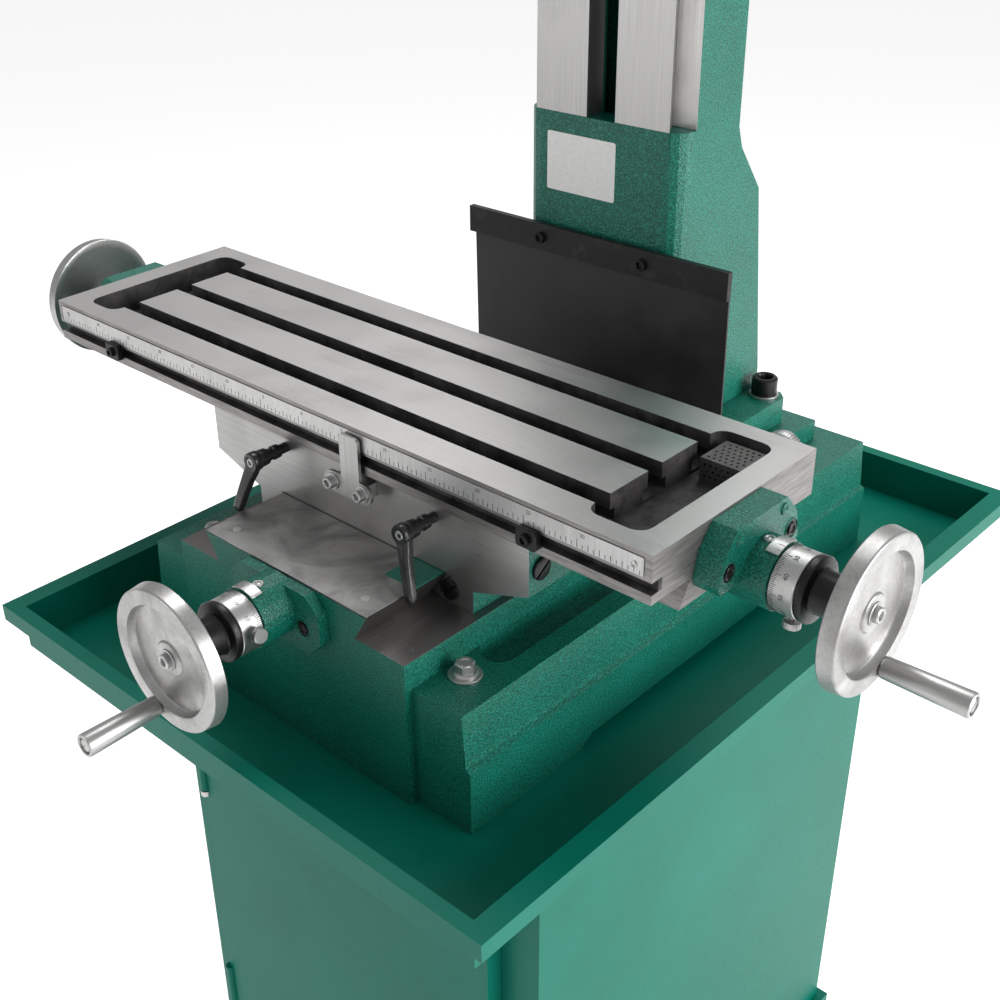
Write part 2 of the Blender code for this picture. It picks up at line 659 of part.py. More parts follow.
def build_head():
    plan = rounded_outline((-85.0, -215.0), (85.0, 0.0), 30.0, 5)
    head = prism("head_casting", plan, "z", HEAD_BOTTOM, HEAD_TOP)
    unite(head, rod("tilt_flange", "y", (0.0, TILT_Z), -20.0, 30.0 - GAP, 78.0, FINE))
    cut(head, box("gear_case", (-72.0, -203.0, 1588.0), (72.0, -8.0, HEAD_TOP + 20.0)))
    cut(head, rod("quill_bore", "z", (0.0, SPINDLE_Y), 1400.0, 1562.0, 37.9, FINE))
    cut(head, rod("gear_bore", "z", (0.0, SPINDLE_Y), 1550.0, 1600.0, 22.4, 24))
    cut(head, rod("feed_bore", "x", (FEED_Y, FEED_Z), -14.0, 100.0, 14.5, 24))
    cut(head, rod("lever_bore", "x", (-170.0, 1440.0), -100.0, -60.0, 5.5, 16))
    return set_pivot(head, (0.0, 30.0, TILT_Z))


def build_head_cover():
    plan = rounded_outline((-85.0, -215.0), (85.0, 0.0), 30.0, 5)
    cover = prism("head_cover", plan, "z", HEAD_TOP + GAP, 1650.0)
    cut(cover, rod("spindle_hole", "z", (0.0, SPINDLE_Y), 1630.0, 1660.0, 22.4, 24))
    return cut(cover, rod("motor_hole", "z", (0.0, MOTOR_Y), 1630.0, 1660.0, 12.4, 24))


def build_motor():
    profile = [
        (1650.3, 9.0), (1650.3, 50.0), (1660.0, 50.0), (1664.0, 60.0), (1822.0, 60.0),
        (1826.0, 62.0), (1856.0, 60.0), (1860.0, 55.0), (1860.0, 0.0), (1852.0, 0.0),
        (1852.0, 52.0), (1666.0, 52.0), (1662.0, 9.0),
    ]
    return lathe("spindle_motor", profile, "z", (0.0, MOTOR_Y), FINE)


def build_rotor():
    profile = [
        (1593.0, 0.0), (1593.0, 29.8), (1613.0, 29.8), (1613.0, 8.0), (1690.0, 8.0),
        (1690.0, 40.0), (1810.0, 40.0), (1810.0, 7.0), (1840.0, 7.0), (1840.0, 0.0),
    ]
    rotor = lathe("motor_rotor", profile, "z", (0.0, MOTOR_Y), FINE)
    return set_pivot(rotor, (0.0, MOTOR_Y, 1700.0))


def build_drive_gear():
    profile = [
        (1564.0, 13.0), (1564.0, 22.0), (1594.0, 22.0), (1594.0, 57.9), (1612.0, 57.9),
        (1612.0, 22.0), (1636.0, 22.0), (1636.0, 13.0),
    ]
    gear = lathe("drive_gear", profile, "z", (0.0, SPINDLE_Y), FINE)
    return set_pivot(gear, (0.0, SPINDLE_Y, 1600.0))


def build_quill():
    quill = ring("quill", "z", (0.0, SPINDLE_Y), 1366.0, 1552.0, 21.0, 37.5, FINE)
    return set_pivot(quill, (0.0, SPINDLE_Y, 1460.0))


def build_spindle():
    profile = [
        (1350.0, 15.5), (1350.0, 24.0), (1352.0, 26.0), (1365.0, 26.0), (1365.0, 20.6),
        (1545.0, 20.6), (1548.0, 12.5), (1718.0, 12.5), (1718.0, 6.0), (1440.0, 6.0),
        (1438.0, 10.0),
    ]
    spindle = lathe("spindle", profile, "z", (0.0, SPINDLE_Y), FINE)
    return set_pivot(spindle, (0.0, SPINDLE_Y, 1460.0))


def build_drawbar_cap():
    profile = [
        (1650.3, 16.0), (1650.3, 24.0), (1728.0, 24.0), (1732.0, 21.0), (1732.0, 0.0),
        (1728.0, 0.0), (1728.0, 16.0),
    ]
    return lathe("drawbar_cap", profile, "z", (0.0, SPINDLE_Y), ROUND)


def build_feed_handle():
    """Pinion shaft, hub and three ball arms of the quill feed."""
    profile = [
        (-12.0, 0.0), (-12.0, 12.9), (12.0, 12.9), (12.0, 9.0), (86.0, 9.0), (86.0, 26.0),
        (92.0, 27.0), (116.0, 20.0), (120.0, 14.0), (120.0, 0.0),
    ]
    handle = lathe("feed_handle", profile, "x", (FEED_Y, FEED_Z), ROUND)
    for number in range(3):
        angle = math.radians(80.0 + 120.0 * number)
        outward = Vector((0.20, math.cos(angle), math.sin(angle))).normalized()
        start = Vector((104.0, FEED_Y, FEED_Z))
        arm = spoke("arm", start + outward * 12.0, start + outward * 112.0, 4.5)
        unite(handle, arm)
        unite(handle, ball("knob", start + outward * 118.0, 12.0))
    return set_pivot(handle, (90.0, FEED_Y, FEED_Z))


def spoke(name, start, end, radius, segments=16):
    """Round bar between two points."""
    builder = bmesh.new()
    direction = (end - start).normalized()
    turn = direction.to_track_quat("Z", "Y").to_matrix().to_4x4()
    middle = (start + end) * 0.5 * MM
    length = (end - start).length * MM
    bmesh.ops.create_cone(
        builder, cap_ends=True, segments=segments, radius1=radius * MM, radius2=radius * MM,
        depth=length, matrix=Matrix.Translation(middle) @ turn,
    )
    return add_object(name, builder)


def ball(name, centre, radius):
    builder = bmesh.new()
    bmesh.ops.create_uvsphere(
        builder, u_segments=16, v_segments=10, radius=radius * MM,
        matrix=Matrix.Translation(centre * MM),
    )
    return add_object(name, builder)


def build_quill_lock():
    lever = rod("quill_lock", "x", (-170.0, 1440.0), -96.0, -62.0, 5.0, 16)
    unite(lever, rod("hub", "x", (-170.0, 1440.0), -100.0, -85.3, 9.0, 20))
    start = Vector((-94.0, -170.0, 1440.0))
    unite(lever, spoke("arm", start, start + Vector((-18.0, -20.0, -46.0)), 3.5, 12))
    unite(lever, ball("knob", start + Vector((-19.5, -21.6, -49.8)), 7.5))
    return set_pivot(lever, (-90.0, -170.0, 1440.0))


def build_control_box():
    box_front, box_back = -265.0, -215.3
    panel = box("control_box", (-75.0, box_front, 1436.0), (75.0, box_back, 1612.0))
    cut(panel, rod("knob_hole", "y", (-38.0, 1470.0), -270.0, -250.0, 4.4, 16))
    cut(panel, rod("start_hole", "y", (8.0, 1470.0), -270.0, -250.0, 8.4, 20))
    cut(panel, rod("stop_hole", "y", (46.0, 1470.0), -270.0, -250.0, 10.4, 20))
    return panel


def build_controls():
    knob = rod("speed_knob", "y", (-38.0, 1470.0), -283.0, -265.4, 15.0, 28)
    unite(knob, rod("stem", "y", (-38.0, 1470.0), -270.0, -252.0, 4.0, 16))
    set_pivot(knob, (-38.0, -265.0, 1470.0))
    start = rod("start_button", "y", (8.0, 1470.0), -270.0, -256.0, 8.0, 20)
    set_pivot(start, (8.0, -265.0, 1470.0))
    stop = rod("stop_button", "y", (46.0, 1470.0), -288.0, -276.0, 18.0, 28)
    unite(stop, rod("stem", "y", (46.0, 1470.0), -280.0, -256.0, 10.0, 20))
    set_pivot(stop, (46.0, -265.0, 1470.0))


def build_all():
    clear_scene()
    build_plinth()
    build_cabinet()
    build_door()
    build_tray()
    build_base()
    build_way_cover()
    build_y_bracket()
    build_column()
    build_z_gearbox()
    build_guard()
    build_saddle()
    build_y_gib()
    build_x_gib()
    build_y_nut()
    build_x_nut()
    build_pointer()
    build_clamp_lever("clamp_lever_left", -91.0, -107.0, 814.0)
    build_clamp_lever("clamp_lever_right", 91.0, 108.5, 811.0)
    build_table()
    build_strainer()
    build_table_scale()
    build_x_bracket("x_bracket_right", 1)
    build_x_bracket("x_bracket_left", -1)
    build_x_axis_drive()
    build_y_axis_drive()
    build_z_axis_drive()
    build_carriage()
    build_z_gib()
    build_z_nut()
    build_head()
    build_head_cover()
    build_motor()
    build_rotor()
    build_drive_gear()
    build_quill()
    build_spindle()
    build_drawbar_cap()
    build_feed_handle()
    build_quill_lock()
    build_control_box()
    build_controls()


build_all()
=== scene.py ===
"""Looks of the vertical milling machine: materials, detail pieces, light and camera.

Lengths below are millimetres in the CAD frame and are turned into metres by MM.
"""
import math

import bmesh
import bpy
from mathutils import Matrix, Vector


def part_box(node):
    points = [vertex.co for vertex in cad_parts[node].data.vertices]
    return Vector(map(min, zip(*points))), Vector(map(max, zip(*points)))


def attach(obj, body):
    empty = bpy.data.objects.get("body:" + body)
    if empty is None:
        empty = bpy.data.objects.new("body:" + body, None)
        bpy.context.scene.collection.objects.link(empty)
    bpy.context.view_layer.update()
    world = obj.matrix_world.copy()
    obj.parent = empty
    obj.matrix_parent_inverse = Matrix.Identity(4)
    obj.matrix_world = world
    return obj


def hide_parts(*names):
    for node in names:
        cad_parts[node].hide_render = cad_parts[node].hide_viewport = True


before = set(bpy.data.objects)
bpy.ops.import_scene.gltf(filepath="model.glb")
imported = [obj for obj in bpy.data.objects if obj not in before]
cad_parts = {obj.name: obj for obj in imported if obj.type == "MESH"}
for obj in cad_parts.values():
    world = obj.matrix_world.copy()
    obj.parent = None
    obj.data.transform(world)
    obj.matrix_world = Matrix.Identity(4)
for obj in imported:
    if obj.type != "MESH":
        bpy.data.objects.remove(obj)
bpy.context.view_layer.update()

MM = 0.001

# Camera, in metres and degrees
CAMERA_PLACE = (0.76137, -0.89649, 1.41526)
CAMERA_YAW, CAMERA_PITCH, CAMERA_ROLL = 44.76, 28.68, -1.70
CAMERA_LENS = 49.616
CAMERA_SHIFT = (0.0606, -0.0215)

# Places taken from the CAD, in millimetres
TABLE_X = -56.4
TABLE_FRONT = -237.5
TABLE_TOP = 920.0
X_AXIS = (-132.5, 871.5)
Y_AXIS = (0.0, 789.3)
Z_CRANK_AXIS = (140.0, 1750.0)
X_WHEEL_FACE = 425.5
X_LEFT_FACE = -522.0
BRACKET_Y = -136.0
Y_WHEEL_FACE = -435.5
Z_WHEEL_FACE = 139.0
WHEEL_RADIUS = 61.3
GRIP_LENGTH = 68.0
DIAL_RADIUS = 25.5
BARREL_RADIUS = 27.0
BASE_WAY_HALF = 141.0
BASE_WAY_BACK = 79.5
SADDLE_SIDE = 190.0
LEVER_HUB_Z = 863.0
COLUMN_FOOT_TOP = 810.0
COLUMN_BOLT_WASHER = 2.6
WAY_COVER_TOP = 814.5
TABLE_STOP_Z = 892.5
POINTER_SCREW_Z = 864.6
HEAD_FRONT, HEAD_COVER_TOP = -265.0, 1650.0
KNOB_X, BUTTON_ROW_Z = -38.0, 1470.0
FEED_CENTRE = (104.0, -78.5, 1480.0)
FEED_ARM, FEED_KNOB_RADIUS = 118.0, 12.4
BACK_OF_CRANK_HOUSING = 180.0
KNURL_RIDGES, KNURL_RISE = 24, 0.045
SADDLE_FRONT = -227.5
SHOULDER_TOP = 762.0
SPINDLE_Y, MOTOR_Y = -130.0, -42.0
TILT_Z = 1560.0

SMOOTH_ANGLE = math.radians(35.0)


# ---------------------------------------------------------------- mesh helpers

def place(axis, along, first, second):
    if axis == "x":
        return Vector((along, first, second)) * MM
    if axis == "y":
        return Vector((first, along, second)) * MM
    return Vector((first, second, along)) * MM


def plain_object(name, builder):
    bmesh.ops.recalc_face_normals(builder, faces=builder.faces)
    mesh = bpy.data.meshes.new(name)
    builder.to_mesh(mesh)
    builder.free()
    item = bpy.data.objects.new(name, mesh)
    bpy.context.collection.objects.link(item)
    return item


def soften(mesh):
    mesh.shade_smooth()
    mesh.set_sharp_from_angle(angle=SMOOTH_ANGLE)


def make_piece(name, builder, body, finish, smooth=True):
    """Turns a mesh being built into a piece of one body, with a finish from FINISHES."""
    item = plain_object(name, builder)
    key, slot = FINISHES[finish]
    item.data.materials.append(MATERIALS[key])
    if smooth:
        soften(item.data)
    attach(item, body)
    return item


def loft(builder, rings, close_start=True, close_end=True):
    """Skins rings of equal point counts; each ring is a list of vectors in metres."""
    levels = [[builder.verts.new(point) for point in ring] for ring in rings]
    count = len(levels[0])
    for near, far in zip(levels, levels[1:]):
        for step in range(count):
            following = (step + 1) % count
            builder.faces.new((near[step], near[following], far[following], far[step]))
    if close_start:
        builder.faces.new(list(reversed(levels[0])))
    if close_end:
        builder.faces.new(levels[-1])


def circle(axis, along, centre, radius, count, turn=0.0):
    points = []
    for step in range(count):
        angle = 2.0 * math.pi * step / count + turn
        first = centre[0] + radius * math.cos(angle)
        second = centre[1] + radius * math.sin(angle)
        points.append(place(axis, along, first, second))
    return points


def add_turned(builder, profile, axis, centre, count):
    """Turns an open or closed (along, radius) profile; a closed one repeats its first point."""
    levels = []
    for along, radius in profile:
        if radius < 0.001:
            levels.append([builder.verts.new(place(axis, along, centre[0], centre[1]))])
        else:
            levels.append([builder.verts.new(p) for p in circle(axis, along, centre, radius, count)])
    pairs = list(zip(levels, levels[1:]))
    if profile[0] == profile[-1]:
        bmesh.ops.delete(builder, geom=levels[-1], context="VERTS")
        pairs[-1] = (levels[-2], levels[0])
    for near, far in pairs:
        if len(near) == 1 and len(far) == 1:
            continue
        for step in range(count):
            following = (step + 1) % count
            corners = [near[step % len(near)], near[following % len(near)]]
            corners += [far[following % len(far)], far[step % len(far)]]
            builder.faces.new(list(dict.fromkeys(corners)))


def turned(name, profile, axis, centre, body, finish, count=72):
    builder = bmesh.new()
    add_turned(builder, profile, axis, centre, count)
    return make_piece(name, builder, body, finish)


def add_prism(builder, outline, axis, start, end):
    near = [place(axis, start, a, b) for a, b in outline]
    far = [place(axis, end, a, b) for a, b in outline]
    loft(builder, [near, far])


def add_box(builder, low, high):
    outline = [(low[0], low[1]), (high[0], low[1]), (high[0], high[1]), (low[0], high[1])]
    add_prism(builder, outline, "z", low[2], high[2])


def rounded_outline(low, high, radius, steps=6):
    corners = [
        (high[0] - radius, high[1] - radius, 0.0),
        (low[0] + radius, high[1] - radius, 90.0),
        (low[0] + radius, low[1] + radius, 180.0),
        (high[0] - radius, low[1] + radius, 270.0),
    ]
    outline = []
    for centre_a, centre_b, start in corners:
        for step in range(steps + 1):
            angle = math.radians(start + 90.0 * step / steps)
            outline.append((centre_a + radius * math.cos(angle), centre_b + radius * math.sin(angle)))
    return outline


def add_bevel(item, width, segments=2, angle=30.0):
    modifier = item.modifiers.new("edge", "BEVEL")
    modifier.width = width * MM
    modifier.segments = segments
    modifier.limit_method = "ANGLE"
    modifier.angle_limit = math.radians(angle)
    modifier.harden_normals = False
    modifier.use_clamp_overlap = True
    return item


def ring_about(centre, side, across, radii):
    """Points round a centre in millimetres, one for each radius."""
    points = []
    for step, radius in enumerate(radii):
        angle = 2.0 * math.pi * step / len(radii)
        points.append((centre + side * radius * math.cos(angle) + across * radius * math.sin(angle)) * MM)
    return points


def bar_frame(direction, up):
    """Two unit vectors across a direction."""
    side = direction.cross(up).normalized()
    return side, side.cross(direction).normalized()


def add_swept(builder, stations, up=(0, 0, 1), count=16, power=2.6):
    """Skins rounded-rectangle sections along a path of (point, width, thickness)."""
    rings = []
    points = [Vector(point) for point, _, _ in stations]
    for index, (point, width, thickness) in enumerate(stations):
        before = points[max(index - 1, 0)]
        after = points[min(index + 1, len(points) - 1)]
        side, across = bar_frame((after - before).normalized(), Vector(up))
        ring = []
        for step in range(count):
            angle = 2.0 * math.pi * step / count
            c, s = math.cos(angle), math.sin(angle)
            a = math.copysign(abs(c) ** (2.0 / power), c) * width / 2.0
            b = math.copysign(abs(s) ** (2.0 / power), s) * thickness / 2.0
            ring.append((Vector(point) + side * a + across * b) * MM)
        rings.append(ring)
    loft(builder, rings)


def hex_ring(axis, along, centre, across_flats, count, turn=0.0):
    """Points of a hexagon, as many as a circle of the same count has."""
    points = []
    for step in range(count):
        angle = 2.0 * math.pi * step / count
        local = (angle % (math.pi / 3.0)) - math.pi / 6.0
        radius = across_flats / 2.0 / math.cos(local)
        first = centre[0] + radius * math.cos(angle + turn)
        second = centre[1] + radius * math.sin(angle + turn)
        points.append(place(axis, along, first, second))
    return points


def add_cap_screw(builder, axis, centre, seat, outward, radius, height):
    """Socket-head cap screw standing on a seat, its head pointing outward."""
    count = 24

    def at(distance):
        return seat + outward * distance

    bevel = radius * 0.14
    rings = [
        circle(axis, at(0.0), centre, radius * 0.97, count),
        circle(axis, at(bevel), centre, radius, count),
        circle(axis, at(height - bevel), centre, radius, count),
        circle(axis, at(height), centre, radius - bevel, count),
        circle(axis, at(height), centre, radius * 0.66, count),
        hex_ring(axis, at(height - bevel), centre, radius * 1.04, count),
        hex_ring(axis, at(height * 0.42), centre, radius * 1.04, count),
    ]
    loft(builder, rings)


def cap_screws(name, body, finish, axis, spots, seat, outward, radius, height):
    """One piece of socket screws that share a seat; spots are their places across the axis."""
    builder = bmesh.new()
    for spot in spots:
        add_cap_screw(builder, axis, spot, seat, outward, radius, height)
    make_piece(name, builder, body, finish)


def add_washer(builder, axis, centre, seat, outward, inner, outer, thickness):
    profile = [
        (seat, inner), (seat, outer - 0.2), (seat + outward * thickness * 0.3, outer),
        (seat + outward * thickness * 0.8, outer), (seat + outward * thickness, outer - 0.4),
        (seat + outward * thickness, inner), (seat, inner),
    ]
    add_turned(builder, profile, axis, centre, 36)


def add_hex_bolt(builder, axis, centre, seat, outward, flats, height, flange):
    """Flanged hexagon bolt head."""
    count = 48

    def at(distance):
        return seat + outward * distance

    rings = [
        circle(axis, at(0.0), centre, flange, count),
        circle(axis, at(1.2), centre, flange, count),
        circle(axis, at(2.4), centre, flats * 0.62, count),
        hex_ring(axis, at(2.8), centre, flats, count),
        hex_ring(axis, at(height - 1.0), centre, flats, count),
        circle(axis, at(height), centre, flats * 0.45, count),
        circle(axis, at(height), centre, flats * 0.28, count),
        circle(axis, at(height - 0.7), centre, flats * 0.22, count),
    ]
    loft(builder, rings)


def carve(target, builders):
    """Cuts closed meshes, built in the same frame, out of a piece."""
    for builder in builders:
        cutter = plain_object("cutter", builder)
        modifier = target.modifiers.new("work", "BOOLEAN")
        modifier.operation = "DIFFERENCE"
        modifier.solver = "EXACT"
        modifier.object = cutter
        bpy.context.view_layer.update()
        graph = bpy.context.evaluated_depsgraph_get()
        result = bpy.data.meshes.new_from_object(target.evaluated_get(graph))
        target.modifiers.remove(modifier)
        old = target.data
        target.data = result
        bpy.data.meshes.remove(old)
        bpy.data.objects.remove(cutter, do_unlink=True)
    soften(target.data)


def text_points(words, size):
    """Flat mesh of generic lettering, in millimetres, centred on its own origin."""
    curve = bpy.data.curves.new("lettering", "FONT")
    curve.body = words
    curve.size = size
    curve.align_x = "CENTER"
    curve.align_y = "CENTER"
    curve.resolution_u = 2
    item = bpy.data.objects.new("lettering", curve)
    bpy.context.collection.objects.link(item)
    graph = bpy.context.evaluated_depsgraph_get()
    mesh = bpy.data.meshes.new_from_object(item.evaluated_get(graph))
    points = [vertex.co.copy() for vertex in mesh.vertices]
    faces = [list(polygon.vertices) for polygon in mesh.polygons]
    bpy.data.objects.remove(item, do_unlink=True)
    bpy.data.curves.remove(curve)
    bpy.data.meshes.remove(mesh)
    return points, faces


def add_text(builder, words, size, origin, right, up, lift=0.12):
    """Raised lettering: right and up are unit vectors, origin is in millimetres."""
    points, faces = text_points(words, size)
    out = Vector(right).cross(Vector(up))
    right, up, origin = Vector(right), Vector(up), Vector(origin)
    top = [builder.verts.new((origin + right * p.x + up * p.y + out * lift) * MM) for p in points]
    for face in faces:
        builder.faces.new([top[index] for index in face])


# ---------------------------------------------------------------- materials

class Nodes:
    """Small helper that builds one procedural material."""

    def __init__(self, name, colour, metallic, roughness):
        self.material = bpy.data.materials.new(name)
        self.material.use_nodes = True
        self.tree = self.material.node_tree
        self.shader = self.tree.nodes["Principled BSDF"]
        self.shader.inputs["Base Color"].default_value = (*colour, 1.0)
        self.shader.inputs["Metallic"].default_value = metallic
        self.shader.inputs["Roughness"].default_value = roughness
        self.coords = self.tree.nodes.new("ShaderNodeTexCoord")
        self.place = self.coords.outputs["Object"]
        self.normal = self.coords.outputs["Normal"]

    def link(self, source, target):
        self.tree.links.new(source, target)

    def math(self, operation, first, second=0.0, clamp=False):
        node = self.tree.nodes.new("ShaderNodeMath")
        node.operation = operation
        node.use_clamp = clamp
        for value, socket in ((first, node.inputs[0]), (second, node.inputs[1])):
            if isinstance(value, (int, float)):
                socket.default_value = value
            else:
                self.link(value, socket)
        return node.outputs[0]

    def split(self, source):
        node = self.tree.nodes.new("ShaderNodeSeparateXYZ")
        self.link(source, node.inputs[0])
        return node.outputs

    def stretch(self, scale):
        node = self.tree.nodes.new("ShaderNodeMapping")
        node.inputs["Scale"].default_value = scale
        self.link(self.place, node.inputs["Vector"])
        return node.outputs[0]

    def noise(self, scale, detail=3.0, rough=0.55, source=None, distortion=0.0):
        node = self.tree.nodes.new("ShaderNodeTexNoise")
        node.inputs["Scale"].default_value = scale
        node.inputs["Detail"].default_value = detail
        node.inputs["Roughness"].default_value = rough
        node.inputs["Distortion"].default_value = distortion
        self.link(source or self.place, node.inputs["Vector"])
        return node.outputs["Fac"]

    def cells(self, scale, feature="SMOOTH_F1"):
        node = self.tree.nodes.new("ShaderNodeTexVoronoi")
        node.feature = feature
        node.inputs["Scale"].default_value = scale
        self.link(self.place, node.inputs["Vector"])
        return node.outputs["Distance"]

    def band(self, source, low, high, out_low=0.0, out_high=1.0):
        node = self.tree.nodes.new("ShaderNodeMapRange")
        node.inputs["From Min"].default_value = low
        node.inputs["From Max"].default_value = high
        node.inputs["To Min"].default_value = out_low
        node.inputs["To Max"].default_value = out_high
        node.clamp = True
        self.link(source, node.inputs["Value"])
        return node.outputs["Result"]

    def mix_colour(self, factor, first, second):
        node = self.tree.nodes.new("ShaderNodeMix")
        node.data_type = "RGBA"
        if isinstance(factor, (int, float)):
            node.inputs[0].default_value = factor
        else:
            self.link(factor, node.inputs[0])
        for value, socket in ((first, node.inputs[6]), (second, node.inputs[7])):
            if isinstance(value, tuple):
                socket.default_value = (*value, 1.0)
            else:
                self.link(value, socket)
        return node.outputs[2]

    def mix_value(self, factor, first, second):
        node = self.tree.nodes.new("ShaderNodeMix")
        node.data_type = "FLOAT"
        self.link(factor, node.inputs[0])
        for value, socket in ((first, node.inputs[2]), (second, node.inputs[3])):
            if isinstance(value, (int, float)):
                socket.default_value = value
            else:
                self.link(value, socket)
        return node.outputs[0]

    def bump(self, height, distance, strength=1.0, before=None):
        node = self.tree.nodes.new("ShaderNodeBump")
        node.inputs["Strength"].default_value = strength
        node.inputs["Distance"].default_value = distance * MM
        self.link(height, node.inputs["Height"])
        if before is not None:
            self.link(before, node.inputs["Normal"])
        return node.outputs["Normal"]

    def set(self, name, source):
        self.link(source, self.shader.inputs[name])

    def finish(self, colour, roughness, normal, metallic=None, specular=None):
        """Connects the shader's main inputs and gives back the material."""
        self.set("Base Color", colour)
        self.set("Roughness", roughness)
        self.set("Normal", normal)
        if metallic is not None:
            self.set("Metallic", metallic)
        if specular is not None:
            self.shader.inputs["Specular IOR Level"].default_value = specular
        return self.material


CAST_SPECULAR = 0.40
PAINT = (0.0, 0.125, 0.084)
PAINT_DEEP = (0.0, 0.088, 0.057)
PAINT_PALE = (0.016, 0.24, 0.18)
PAINT_PIT = (0.0, 0.066, 0.043)
SHEET_PAINT = (0.0, 0.118, 0.080)
SHEET_PALE = (0.0, 0.140, 0.098)
STEEL = (0.46, 0.455, 0.45)
STEEL_DARK = (0.27, 0.265, 0.26)


def cast_paint_parts(n):
    """Colour, roughness and height of the pebbled casting paint."""
    pebble = n.cells(640.0)
    grain = n.noise(760.0, 1.5)
    patch = n.noise(11.0, 4.0)
    tone = n.mix_colour(n.band(patch, 0.35, 0.65), PAINT_DEEP, PAINT)
    tone = n.mix_colour(n.band(pebble, 0.30, 0.65, 0.0, 0.85), tone, PAINT_PIT)
    colour = n.mix_colour(n.band(grain, 0.50, 0.64, 0.0, 0.85), tone, PAINT_PALE)
    roughness = n.band(grain, 0.3, 0.7, 0.42, 0.30)
    height = n.math("ADD", n.math("MULTIPLY", pebble, -0.7), n.math("MULTIPLY", grain, 0.8))
    return colour, roughness, height


def cast_paint():
    n = Nodes("Pebbled_green_paint", PAINT, 0.0, 0.36)
    colour, roughness, height = cast_paint_parts(n)
    return n.finish(colour, roughness, n.bump(height, 0.6, 0.9), specular=CAST_SPECULAR)


def sheet_paint():
    n = Nodes("Sheet_green_paint", PAINT, 0.0, 0.28)
    peel = n.noise(420.0, 2.0)
    patch = n.noise(6.0, 3.0)
    scuff = n.noise(30.0, 6.0, 0.7, distortion=1.2)
    colour = n.mix_colour(n.band(patch, 0.35, 0.65), SHEET_PAINT, SHEET_PALE)
    colour = n.mix_colour(n.band(scuff, 0.66, 0.80, 0.0, 0.25), colour, PAINT_PALE)
    roughness = n.band(peel, 0.3, 0.7, 0.34, 0.46)
    return n.finish(colour, roughness, n.bump(peel, 0.12, 0.5), specular=0.14)


def steel_parts(n, direction, colour=STEEL, dark=STEEL_DARK):
    """Ground steel: fine lines along one direction with faint handling marks."""
    stretch = {"x": (6.0, 900.0, 900.0), "y": (900.0, 6.0, 900.0), "z": (900.0, 900.0, 6.0)}[direction]
    lines = n.noise(1.0, 4.0, 0.7, n.stretch(stretch))
    smudge = n.noise(9.0, 5.0, 0.6, distortion=0.4)
    shade = n.mix_colour(n.band(lines, 0.3, 0.7, 0.0, 0.55), colour, dark)
    shade = n.mix_colour(n.band(smudge, 0.5, 0.75, 0.0, 0.4), shade, dark)
    roughness = n.math("ADD", n.band(lines, 0.3, 0.7, 0.26, 0.40), n.band(smudge, 0.4, 0.7, 0.0, 0.10))
    return shade, roughness, lines


def ground_steel(name, direction, colour=STEEL):
    n = Nodes(name, colour, 0.95, 0.33)
    dark = tuple(value * 0.66 for value in colour)
    shade, roughness, lines = steel_parts(n, direction, colour, dark)
    return n.finish(shade, roughness, n.bump(lines, 0.02, 0.4))


def inside_mask(n, low, high):
    """1 inside a box given in millimetres; None leaves a side open."""
    mask = None
    axes = n.split(n.place)
    for index in range(3):
        for bound, operation in ((low[index], "GREATER_THAN"), (high[index], "LESS_THAN")):
            if bound is None:
                continue
            test = n.math(operation, axes[index], bound * MM)
            mask = test if mask is None else n.math("MULTIPLY", mask, test)
    return mask


def part_machined(n, mask, shade, steel_rough, lines, metallic):
    """Ends a material that is casting paint, with bare steel where the mask is 1."""
    colour, roughness, height = cast_paint_parts(n)
    relief = n.mix_value(mask, height, n.math("MULTIPLY", lines, 0.03))
    return n.finish(
        n.mix_colour(mask, colour, shade), n.mix_value(mask, roughness, steel_rough),
        n.bump(relief, 0.6, 0.9), n.math("MULTIPLY", mask, metallic), CAST_SPECULAR,
    )


def machined_casting(name, mask_builder, direction):
    n = Nodes(name, PAINT, 0.0, 0.36)
    return part_machined(n, mask_builder(n), *steel_parts(n, direction), 0.95)


def base_mask(n):
    sides = n.split(n.normal)
    high = inside_mask(n, (-BASE_WAY_HALF, None, 787.6), (BASE_WAY_HALF, BASE_WAY_BACK, None))
    return n.math("MULTIPLY", high, n.math("GREATER_THAN", sides[1], -0.5))


def column_mask(n):
    return inside_mask(n, (None, None, 1100.5), (None, 112.4, None))


def saddle_mask(n):
    sides = n.split(n.normal)
    front = n.math("GREATER_THAN", n.math("ABSOLUTE", sides[1]), 0.5)
    inner = inside_mask(n, (-189.5, None, 856.0), (189.5, None, None))
    under = inside_mask(n, (-131.5, None, None), (131.5, None, 817.0))
    return n.math("MAXIMUM", front, n.math("MAXIMUM", inner, under))


def carriage_mask(n):
    return inside_mask(n, (-84.0, 89.0, None), (84.0, None, None))


